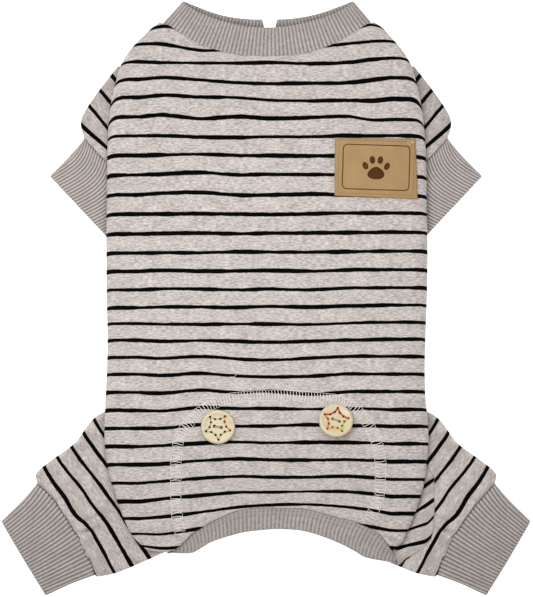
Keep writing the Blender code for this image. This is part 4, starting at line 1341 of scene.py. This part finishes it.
class DOGSUIT_OT_sleeves(bpy.types.Operator):
    """Striped front-leg tubes with their ribbed cuffs"""

    bl_idname = "dogsuit.sleeves"
    bl_label = "Sleeves"

    def execute(self, context):
        cloth, knit, _ = suit()
        for side, word in SIDES:
            rings = shaped_limb(SLEEVE, 34, side, (66, 14, 60, 14), SLEEVE_FOLDS, (False, True),
                                SLEEVE_SEAM_BOW, (0.0, 1.0))

            def layers_of(plan, centres, side=side):
                return {"cloth": limb_cloth(
                    plan[:, 0], plan[:, 1], side, SLEEVE_ANCHOR, SLEEVE_AXIS, SLEEVE_PLACES, SLEEVE_STRIPES)}

            # 0.95: painted shade on the sleeves; 0.6: painted fold shade
            finish = finish_named("sleeve_jersey", jersey_finish, cloth, 0.95, 0.6)
            sleeve = jersey_limb(f"jersey_sleeve_{word}", rings, cloth.wall, finish, layers_of)
            cloth_ride(sleeve, "jersey", f"sleeve_{word}")
            # 1.08: painted light on the sleeve cuffs; 1.0: full painted shade between their ribs
            cuff = knit_cuff(f"ribbed_sleeve_cuff_{word}", SLEEVE_CUFF, side, knit.sleeve_pitch, 3.2 * MM,
                             SLEEVE_SEAM_BOW, knit, ("sleeve_rib_knit", 1.08, 1.0), 0.0)
            cloth_ride(cuff, "rib_knit", f"sleeve_cuff_{word}")
        return {"FINISHED"}


def knit_cuff(name, table, side, pitch, slide, bends, knit, look, set_back):
    """Ribbed cuff; slide bends its ribs along the tube by that much at half length, bends its seam."""
    middle = table_rows(table, 3)[1]
    counts = ring_counts(*limb_lines(middle, side), pitch)
    steps = 22
    rings = shaped_limb(table, steps, side, counts, (), (True, False), bends, (1.0, 0.0))
    rings = [slid_ring(ring, slide * math.sin(math.pi * i / (steps - 1))) for i, ring in enumerate(rings)]
    finish = finish_named(look[0], knit_finish, knit, *look[1:])
    return knit_tube(name, rings, knit.wall, knit.depth, finish, set_back)


class DOGSUIT_OT_legs(bpy.types.Operator):
    """Striped hind-leg tubes with their ribbed cuffs"""

    bl_idname = "dogsuit.legs"
    bl_label = "Legs"

    def execute(self, context):
        cloth, knit, _ = suit()
        # 0.6: painted fold shade on both legs; 1.03: painted light on the gusseted right leg
        finish = finish_named("leg_jersey", jersey_finish, cloth, 1.0, 0.6)
        gusseted = finish_named("gusseted_jersey", jersey_finish, cloth, 1.03, 0.6, True)
        for side, word in SIDES:
            rings = shaped_limb(LEG, 66, side, (104, 16, 90, 16), LEG_FOLDS, (False, True),
                                LEG_SEAM_BOW[side], (0.0, 1.0))

            def layers_of(plan, centres, side=side):
                main = limb_cloth(plan[:, 0], plan[:, 1], side, LEG_ANCHOR, LEG_AXIS, LEG_PLACES, LEG_STRIPES)
                if side < 0:
                    return {"cloth": main}
                levels = [[-v for v in row] for row in GUSSET_STRIPES]
                count = stripe_count(GUSSET_PLACES, levels, plan[:, 0] / MM, -plan[:, 1] / MM)
                inside = seam_distance(GUSSET_SEAM, plan[:, 0] / MM, plan[:, 1] / MM)
                inside = np.where(centres[:, 2] > 3 * MM, inside, -5.0)
                return {
                    "cloth": main,
                    "gusset": np.stack([plan[:, 0] / MM, count], axis=-1),
                    "seam": np.stack([inside, 0 * inside], axis=-1),
                }

            leg = jersey_limb(f"jersey_leg_{word}", rings, cloth.wall, gusseted if side > 0 else finish, layers_of)
            cloth_ride(leg, "jersey", f"leg_{word}")
            # 0.8: strength of the painted shade between the leg cuffs' ribs
            cuff = knit_cuff(f"ribbed_leg_cuff_{word}", LEG_CUFF, side, knit.leg_pitch, 0.8 * MM,
                             LEG_SEAM_BOW[side], knit, ("leg_rib_knit", 1.0, 0.8), 1.0)
            cloth_ride(cuff, "rib_knit", f"leg_cuff_{word}")
        return {"FINISHED"}


class DOGSUIT_OT_patch(bpy.types.Operator):
    """Leather patch with its stitching and a plain paw motif"""

    bl_idname = "dogsuit.patch"
    bl_label = "Patch"

    def execute(self, context):
        _, _, trim = suit()
        read = back_surface()
        at = np.array([PATCH_AT[0] * BODY_WIDTH / 2 + SHIFT[0], PATCH_AT[1] * LENGTH + SHIFT[1]])
        turn = np.array([[math.cos(PATCH_TURN), -math.sin(PATCH_TURN)], [math.sin(PATCH_TURN), math.cos(PATCH_TURN)]])

        def place(u, v, lift):
            x, y = at + turn @ np.array([u, v])
            under, _ = read(x, y)
            return np.array([x, y, under.z + 0.25 * MM + lift])

        thick = PATCH_THICKNESS
        columns, rows = 61, 45
        us = np.linspace(-0.5, 0.5, columns) * PATCH_SIZE[0]
        vs = np.linspace(0.5, -0.5, rows) * PATCH_SIZE[1]
        top = np.zeros((rows, columns, 3))
        flat = np.zeros((rows, columns, 2))
        for i, v in enumerate(vs):
            for j, u in enumerate(us):
                right = u / PATCH_SIZE[0] + 0.5
                skew = 0.6 * MM * (v / PATCH_SIZE[1] - 0.5) * right
                upper = v / PATCH_SIZE[1] + 0.5
                shift_u = (-0.7 - 0.5 * right) * upper * MM
                shift_v = -0.6 * upper * (1 - right) * MM
                wave = 0.12 * MM * math.sin(u / MM * 0.9) * math.sin(v / MM * 0.7 + 1)
                away = min(PATCH_SIZE[0] / 2 - abs(u), PATCH_SIZE[1] / 2 - abs(v))
                groove = STITCH_SINK * math.exp(-(((away - STITCH_INSET) / (0.45 * MM)) ** 2))
                edge = 0.30 * MM * math.exp(-away / (0.35 * MM))
                lift = thick + wave * 0.4 - groove - edge
                top[i, j] = place(u - 1.6 * skew + shift_u, v + 0.8 * skew + shift_v, lift)
                flat[i, j] = (u / MM, v / MM)
        finish = finish_named("tan_leather", leather_finish, trim)
        top -= SHIFT
        patch = walled_panel("leather_patch", top, thick, finish, flat, 1)
        patch.data.uv_layers["cloth"].name = "leather"
        ride(patch, "leather", "patch")

        stitches = []
        wide = PATCH_SIZE[0] / 2 - STITCH_INSET
        high = PATCH_SIZE[1] / 2 - STITCH_INSET
        corners = [(-wide, high), (wide, high), (wide, -high), (-wide, -high)]
        for (u0, v0), (u1, v1) in zip(corners, corners[1:] + corners[:1]):
            count = round(math.hypot(u1 - u0, v1 - v0) / (1.7 * MM))
            for k in range(count):
                a = (k + 0.14) / count
                b = (k + 0.66) / count
                path = []
                for t in np.linspace(a, b, 6):
                    arc = math.sin(math.pi * (t - a) / (b - a))
                    lift = thick - STITCH_SINK + 0.16 * MM * arc
                    path.append(place(u0 + (u1 - u0) * t, v0 + (v1 - v0) * t, lift))
                stitches.append(path)
        sewing = finish_named("brown_thread", thread_finish, (0.20, 0.115, 0.045))
        ride(threads("patch_stitching", stitches, 0.30 * MM, sewing), "leather")

        loops = []
        knots = ((17.9, 13.6, 1.6, 0.4), (19.2, 14.2, 1.1, 2.0), (18.5, 13.9, 1.0, 3.4))
        for k, (u, v, size, lean) in enumerate(knots):
            path = []
            for t in np.linspace(0, 1, 14):
                a = lean + t * 4.4
                path.append(place((u + size * math.cos(a)) * MM, (v + 0.6 * size * math.sin(a)) * MM,
                                  thick + (0.15 + 0.35 * math.sin(math.pi * t) + 0.1 * k) * MM))
            loops.append(path)
        knot = finish_named("pale_thread", thread_finish, (0.74, 0.64, 0.42))
        ride(threads("patch_knot", loops, 0.26 * MM, knot), "leather")

        ink = finish_named("brown_ink", ink_finish, trim)
        points = []
        faces = []
        pairs = []

        def spot(outline):
            middle = np.mean(outline, axis=0)
            first = len(points)
            ring = [middle] + [middle + (np.array(p) - middle) * s for s in (0.5, 1.0) for p in outline]
            for u, v in ring:
                points.append(place(u, v, thick + MOTIF_LIFT))
            count = len(outline)
            new = [(first, first + 1 + j, first + 1 + (j + 1) % count) for j in range(count)]
            new += [(first + 1 + j, first + 1 + count + j, first + 1 + count + (j + 1) % count,
                     first + 1 + (j + 1) % count) for j in range(count)]
            for face in new:
                faces.append(face)
                pairs.extend((ring[c - first][0] / MM, ring[c - first][1] / MM) for c in face)

        def oval(u, v, wide, high, lean, count=28, pinch=0.0):
            shape = []
            for k in range(count):
                a = 2 * math.pi * k / count
                x = wide * math.cos(a) * (1 - pinch * math.sin(a))
                y = high * math.sin(a)
                shape.append(((u + x * math.cos(lean) - y * math.sin(lean)) * MM,
                              (v + x * math.sin(lean) + y * math.cos(lean)) * MM))
            return shape

        spot(oval(0.0, -3.0, 4.3, 3.3, 0.0, 40, 0.28))
        for u, v, lean in ((-5.7, 0.7, 0.45), (-2.1, 3.9, 0.14), (2.1, 3.9, -0.14), (5.7, 0.7, -0.45)):
            spot(oval(u, v, 1.45, 2.05, lean))

        def ribbon(inset_mm, width_mm, corner):
            wide = PATCH_SIZE[0] / MM / 2 - inset_mm
            high = PATCH_SIZE[1] / MM / 2 - inset_mm
            line = []
            for cx, cy, first in ((wide - corner, high - corner, 0), (-wide + corner, high - corner, 1),
                                  (-wide + corner, -high + corner, 2), (wide - corner, -high + corner, 3)):
                for k in range(7):
                    a = math.pi / 2 * (first + k / 6)
                    line.append((cx + corner * math.cos(a), cy + corner * math.sin(a)))
            dense = []
            for (x0, y0), (x1, y1) in zip(line, line[1:] + line[:1]):
                parts = max(1, round(math.hypot(x1 - x0, y1 - y0) / 1.0))
                dense += [(x0 + (x1 - x0) * t / parts, y0 + (y1 - y0) * t / parts) for t in range(parts)]
            dense = np.array(dense)
            run = np.roll(dense, -1, axis=0) - np.roll(dense, 1, axis=0)
            run /= np.linalg.norm(run, axis=1)[:, None]
            off = np.stack([-run[:, 1], run[:, 0]], axis=1) * width_mm / 2
            first = len(points)
            both = np.concatenate([dense + off, dense - off])
            for u, v in both:
                points.append(place(u * MM, v * MM, thick + MOTIF_LIFT))
            count = len(dense)
            for j in range(count):
                k = (j + 1) % count
                face = (first + j, first + k, first + count + k, first + count + j)
                faces.append(face)
                pairs.extend(tuple(both[c - first]) for c in face)

        ribbon(3.9, 0.50, 2.4)
        motif = clean_mesh("patch_motif", points, faces, ink, {"leather": pairs})
        faced_up(motif)
        motif.modifiers.new("body", "SOLIDIFY").thickness = 0.05 * MM
        applied(motif)
        ride(motif, "leather")
        return {"FINISHED"}


def faced_up(thing):
    work = bmesh.new()
    work.from_mesh(thing.data)
    for face in work.faces:
        face.normal_update()
        if face.normal.z < 0:
            face.normal_flip()
    work.to_mesh(thing.data)
    work.free()


# Star of drilled dots: five tips, and two dots beside each on the way to the next
STAR_TIPS = 5
STAR_OUTER = 6.7 * MM
STAR_INNER = 4.4 * MM
STAR_LEAN = math.radians(18)


def star_dots(turn):
    dots = []
    for k in range(STAR_TIPS):
        tip = turn + 2 * math.pi * k / STAR_TIPS
        after = tip + 2 * math.pi / STAR_TIPS
        for angle, radius in ((tip, STAR_OUTER), (tip + STAR_LEAN, STAR_INNER), (after - STAR_LEAN, STAR_INNER)):
            dots.append(np.array([math.cos(angle), math.sin(angle)]) * radius)
    return dots


def button_place(across, along, tilt, toward):
    """Where a button lies on the back, as in the frame's source."""
    x = across * BODY_WIDTH / 2 + SHIFT[0]
    y = along * LENGTH + SHIFT[1]
    axis = Vector((-math.sin(math.radians(toward)), math.cos(math.radians(toward)), 0.0))
    lean = Matrix.Rotation(math.radians(tilt), 4, axis)
    read = back_surface()
    rise = 0.0
    for step in range(24):
        turn = 2 * math.pi * step / 24
        rim = lean @ Vector((
            BUTTON_DIAMETER / 2 * math.cos(turn), BUTTON_DIAMETER / 2 * math.sin(turn), -BUTTON_THICKNESS / 2))
        centre, _ = read(x + rim.x, y + rim.y)
        rise = max(rise, centre.z + 0.3 * MM - rim.z)
    return Matrix.Translation((x, y, rise)) @ lean


# Section of a button from the middle of its sunk face to the middle of its back: shares of radius and thickness
BUTTON_OUTLINE = (
    (0.0, BUTTON_WELL), (0.60, BUTTON_WELL), (0.74, 0.36), (0.80, 0.46), (0.86, 0.50), (0.93, 0.48), (0.98, 0.36),
    (1.0, 0.16), (1.0, -0.25), (0.97, -0.42), (0.90, -0.50), (0.0, -0.50),
)
# Colours of each star's threads, tip by tip: the dash, and the stub standing in each drilled dot, coloured near
# black: partly its thread, partly painted shade of the hole
GREENS = (
    ((0.55, 0.50, 0.20), (0.040, 0.022, 0.006)), ((0.42, 0.44, 0.14), (0.018, 0.024, 0.006)),
    ((0.42, 0.46, 0.16), (0.018, 0.024, 0.006)), ((0.62, 0.50, 0.18), (0.030, 0.022, 0.006)),
    ((0.75, 0.34, 0.06), (0.080, 0.022, 0.005)),
)
REDS = (
    ((0.55, 0.04, 0.02), (0.080, 0.008, 0.004)), ((0.70, 0.26, 0.05), (0.130, 0.020, 0.005)),
    ((0.78, 0.45, 0.05), (0.150, 0.050, 0.008)), ((0.62, 0.56, 0.08), (0.080, 0.065, 0.008)),
    ((0.62, 0.08, 0.02), (0.120, 0.010, 0.004)),
)
# Place (across, along), tilt and the direction of its axis, turn of the star and of the holes (degrees), width of
# the star's threads (mm), their colours
BUTTONS = (
    ("left", -0.2988, -0.2150, 0.0, 0.0, 56, -11, 0.60, GREENS),
    ("right", 0.4344, -0.2042, 18.0, 75.0, 81, -20, 0.86, REDS),
)


class DOGSUIT_OT_buttons(bpy.types.Operator):
    """Wooden buttons with a drilled star and coloured threads"""

    bl_idname = "dogsuit.buttons"
    bl_label = "Buttons"

    def execute(self, context):
        _, _, trim = suit()
        wood = finish_named("pale_wood", wood_finish, trim)
        radius = BUTTON_DIAMETER / 2
        outline = BUTTON_OUTLINE
        for word, across, along, tilt, toward, star_turn, holes_turn, dash_width, colours in BUTTONS:
            turn = math.radians(star_turn)
            hole_turn = math.radians(holes_turn)
            place = button_place(across, along, tilt, toward)
            sides = 96
            points = []
            for share, level in outline:
                for k in range(sides):
                    a = 2 * math.pi * k / sides
                    points.append((share * radius * math.cos(a), share * radius * math.sin(a),
                                   level * BUTTON_THICKNESS))
            last = len(outline) - 1
            points = points[sides:last * sides]
            faces = []
            for i in range(len(outline) - 3):
                for j in range(sides):
                    k = (j + 1) % sides
                    faces.append((i * sides + j, (i + 1) * sides + j, (i + 1) * sides + k, i * sides + k))
            faces.append(tuple(range(sides)))
            faces.append(tuple(range((len(outline) - 3) * sides, (len(outline) - 2) * sides))[::-1])
            pairs = [(points[c][0] / MM, points[c][1] / MM) for face in faces for c in face]
            disc = clean_mesh(f"wooden_button_{word}", points, faces, wood, {"wood": pairs}, smooth=False)
            faced_out(disc)
            drills = []
            dots = star_dots(turn)
            top = BUTTON_WELL * BUTTON_THICKNESS
            for dot in dots:
                drills.append(drill(dot[0], dot[1], 0.60 * MM, top - 1.1 * MM, top + 1 * MM, 12))
            hole_axis = np.array([math.cos(hole_turn), math.sin(hole_turn)])
            for sign in (-1, 1):
                hx, hy = hole_axis * sign * BUTTON_HOLE_SPACING / 2
                drills.append(drill(hx, hy, BUTTON_HOLE / 2, -2 * MM, 2 * MM, 20))
            tool = joined(drills)
            cut(disc, [tool])
            disc.data.shade_smooth()
            disc.data.set_sharp_from_angle(angle=math.radians(35))
            disc.matrix_world = place
            settle(disc)
            ride(disc, "wood", f"button_{word}")

            for tip, (dash, shaded_eye) in enumerate(colours):
                dashes = []
                shaded_eyes = []
                for k in range(3 * tip, 3 * tip + 3):
                    dot = dots[k]
                    after = dots[(k + 1) % len(dots)]
                    path = []
                    for t in np.linspace(0, 1, 9):
                        lift = top + (-0.45 + 0.62 * math.sin(math.pi * t) ** 0.35) * MM
                        path.append(tuple(place @ Vector((*(dot * (1 - t) + after * t), lift))))
                    dashes.append(path)
                    # Each drilled dot gets a near-black thread stub: partly its thread, partly painted shade of the
                    # hole
                    shaded_eyes.append([tuple(place @ Vector((*dot, top + z * MM))) for z in (-1.0, -0.5, 0.34, 0.37)])
                finish = finish_named(f"star_thread_{word}_{tip}", thread_finish, dash)
                ride(threads(f"button_star_{word}_{tip}", dashes, dash_width * MM, finish), "wood")
                finish = finish_named(f"star_eye_{word}_{tip}", thread_finish, shaded_eye)
                ride(threads(f"button_shaded_eyes_{word}_{tip}", shaded_eyes, 1.25 * MM, finish, 10), "wood")
            strands = []
            for k in range(3):
                side = np.array([-hole_axis[1], hole_axis[0]]) * (k - 1) * 0.38 * MM
                path = []
                for t in np.linspace(0, 1, 15):
                    along_hole = (t * 2 - 1) * BUTTON_HOLE_SPACING / 2
                    flatness = math.sin(math.pi * t) ** 0.4
                    lift = top + (-2.0 + 2.28 * flatness) * MM
                    p = hole_axis * along_hole + side * flatness
                    path.append(tuple(place @ Vector((p[0], p[1], lift))))
                strands.append(path)
            beige = finish_named("beige_thread", thread_finish, (0.50, 0.36, 0.24))
            ride(threads(f"button_thread_{word}", strands, 0.42 * MM, beige), "wood")
        return {"FINISHED"}


def settle(thing):
    """Moves the object's place into its mesh."""
    thing.data.transform(thing.matrix_world)
    thing.matrix_world = Matrix.Identity(4)


def drill(x, y, radius, low, high, sides):
    return prism("drill", [
        (x + radius * math.cos(2 * math.pi * k / sides), y + radius * math.sin(2 * math.pi * k / sides))
        for k in range(sides)], low, high)


def joined(things):
    work = bmesh.new()
    for thing in things:
        work.from_mesh(thing.data)
    mesh = bpy.data.meshes.new("drills")
    work.to_mesh(mesh)
    work.free()
    for thing in things:
        bpy.data.objects.remove(thing, do_unlink=True)
    return placed("drills", mesh)


def even_path(points, pitch):
    """Smooth path through plan points, read at an even pitch: places and directions."""
    x, y, length = smooth_line(points, 1200)
    at = np.arange(0, length[-1], pitch)
    px = np.interp(at, length, x)
    py = np.interp(at, length, y)
    run = np.stack([np.gradient(px), np.gradient(py)], axis=1)
    run /= np.linalg.norm(run, axis=1)[:, None]
    return np.stack([px, py], axis=1), run


class DOGSUIT_OT_overstitching(bpy.types.Operator):
    """Cream overstitched arch round the rump"""

    bl_idname = "dogsuit.overstitching"
    bl_label = "Overstitching"

    def execute(self, context):
        _, _, trim = suit()
        read = back_surface()
        rng = np.random.default_rng(7)
        middle, run = even_path(np.array(ARCH) * MM, trim.stitch_pitch)
        off = np.stack([-run[:, 1], run[:, 0]], axis=1)
        half = trim.stitch_width / 2
        stitches = []
        edges = []

        def lay(paths, a, b, sway, lift, bow):
            path = []
            for t in np.linspace(0, 1, 8):
                arc = math.sin(math.pi * t)
                p = a * (1 - t) + b * t + sway * arc
                under, _ = read(p[0], p[1])
                path.append((p[0], p[1], under.z + (lift + bow * arc ** 0.5) * MM))
            paths.append(path)

        for k in range(len(middle) - 1):
            loose = 0.5 + 0.9 * min(1.0, abs(2 * k / len(middle) - 1) ** 2 * 1.6)
            jitter = rng.normal(0, 0.13 * loose, 8) * MM
            left = middle[k] + off[k] * (half + jitter[0]) + run[k] * jitter[1]
            right = middle[k] - off[k] * (half + jitter[2]) + run[k] * jitter[3]
            lay(stitches, left, right, run[k] * (0.40 * MM + jitter[4]), 0.02, 0.20)
            nearer = middle[k + 1] + off[k + 1] * (half + jitter[5])
            further = middle[k + 1] - off[k + 1] * (half + jitter[6])
            lay(edges, left, nearer, off[k] * 0.15 * MM, 0.0, 0.10)
            if rng.random() < 0.75:
                lay(edges, right, further, -off[k] * 0.15 * MM, 0.0, 0.10)
            if rng.random() < 0.30 * loose:
                lay(edges, left, further, 0 * off[k], 0.0, 0.12)
        cream = finish_named("cream_thread", thread_finish, trim.thread)
        ride(threads("overstitched_arch", stitches, trim.thread_width, cream), "jersey")
        loose_end = []
        for x, y in ((-19.0, -41.4), (-17.6, -42.0), (-16.4, -41.6), (-15.6, -40.4), (-14.2, -39.8)):
            under, _ = read(x * MM, y * MM)
            loose_end.append((x * MM, y * MM, under.z + 0.1 * MM))
        edges.append(loose_end)
        ride(threads("overstitched_edges", edges, trim.thread_width * 0.6, cream), "jersey")
        return {"FINISHED"}


class DOGSUIT_OT_stage(bpy.types.Operator):
    """Pale floor, soft studio light and a camera straight above"""

    bl_idname = "dogsuit.stage"
    bl_label = "Stage"

    def execute(self, context):
        stage = context.scene.dog_jumpsuit_stage
        w = Wiring("pale_floor", stage.floor, 0.9)
        w.set({"Base Color": (*stage.floor, 1.0), "Emission Color": (1.0, 1.0, 1.0, 1.0), "Emission Strength": 0.85})
        mesh = bpy.data.meshes.new("floor")
        size = 2.5
        mesh.from_pydata([(-size, -size, -0.0002), (size, -size, -0.0002), (size, size, -0.0002),
                          (-size, size, -0.0002)], [], [(0, 1, 2, 3)])
        mesh.materials.append(w.finish)
        floor = placed("floor", mesh)

        world = bpy.data.worlds.new("soft_light")
        world.use_nodes = True
        background = world.node_tree.nodes["Background"]
        background.inputs["Color"].default_value = (1.0, 1.0, 1.0, 1.0)
        background.inputs["Strength"].default_value = stage.soft_light
        context.scene.world = world

        for name, place, size, power in (
            ("key", (-0.04, 0.05, 0.45), 0.30, stage.key_light),
            ("side", (-0.9, 0.7, 1.1), 0.80, stage.key_light * 1.6),
        ):
            lamp = bpy.data.lights.new(name, "AREA")
            lamp.shape = "SQUARE"
            lamp.size = size
            lamp.energy = power
            thing = placed(name, lamp)
            thing.location = place
            thing.rotation_mode = "QUATERNION"
            thing.rotation_quaternion = (Vector((0.0, 0.02, 0.0)) - Vector(place)).to_track_quat("-Z", "Y")
            thing.visible_camera = False

        lens = bpy.data.cameras.new("camera")
        lens.sensor_width = SENSOR
        shown = PHOTO_ROWS * PIXEL_MM * MM
        level = 8 * MM
        lens.lens = SENSOR * (stage.distance - level) / shown
        lens.clip_start = 0.1
        lens.clip_end = 20.0
        camera = placed("camera", lens)
        camera.location = (0.3 * MM, -0.45 * MM, stage.distance)
        context.scene.camera = camera
        context.scene.view_settings.view_transform = "Standard"
        context.scene.view_settings.look = "None"
        return {"FINISHED"}


PIECES = (
    DOGSUIT_OT_back, DOGSUIT_OT_belly, DOGSUIT_OT_collar, DOGSUIT_OT_hem, DOGSUIT_OT_sleeves, DOGSUIT_OT_legs,
    DOGSUIT_OT_patch, DOGSUIT_OT_buttons, DOGSUIT_OT_overstitching, DOGSUIT_OT_stage,
)


class DOGSUIT_PT_panel(bpy.types.Panel):
    bl_label = "Dog Jumpsuit"
    bl_idname = "DOGSUIT_PT_panel"
    bl_space_type = "VIEW_3D"
    bl_region_type = "UI"
    bl_category = "Jumpsuit"

    def draw(self, context):
        scene = context.scene
        for title, group in (
            ("Jersey", scene.dog_jumpsuit_cloth), ("Knit", scene.dog_jumpsuit_knit),
            ("Trim", scene.dog_jumpsuit_trim), ("Stage", scene.dog_jumpsuit_stage),
        ):
            box = self.layout.box()
            box.label(text=title)
            for key in group.__annotations__:
                box.prop(group, key)
        for piece in PIECES:
            self.layout.operator(piece.bl_idname)


CLASSES = (SuitCloth, SuitKnit, SuitTrim, SuitStage) + PIECES + (DOGSUIT_PT_panel,)


def register():
    for cls in CLASSES:
        bpy.utils.register_class(cls)
    bpy.types.Scene.dog_jumpsuit_cloth = PointerProperty(type=SuitCloth)
    bpy.types.Scene.dog_jumpsuit_knit = PointerProperty(type=SuitKnit)
    bpy.types.Scene.dog_jumpsuit_trim = PointerProperty(type=SuitTrim)
    bpy.types.Scene.dog_jumpsuit_stage = PointerProperty(type=SuitStage)


def unregister():
    for name in ("cloth", "knit", "trim", "stage"):
        delattr(bpy.types.Scene, f"dog_jumpsuit_{name}")
    for cls in reversed(CLASSES):
        bpy.utils.unregister_class(cls)


def main():
    register()
    for piece in PIECES:
        group, name = piece.bl_idname.split(".")
        getattr(getattr(bpy.ops, group), name)()
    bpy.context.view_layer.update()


if __name__ == "__main__":
    main()
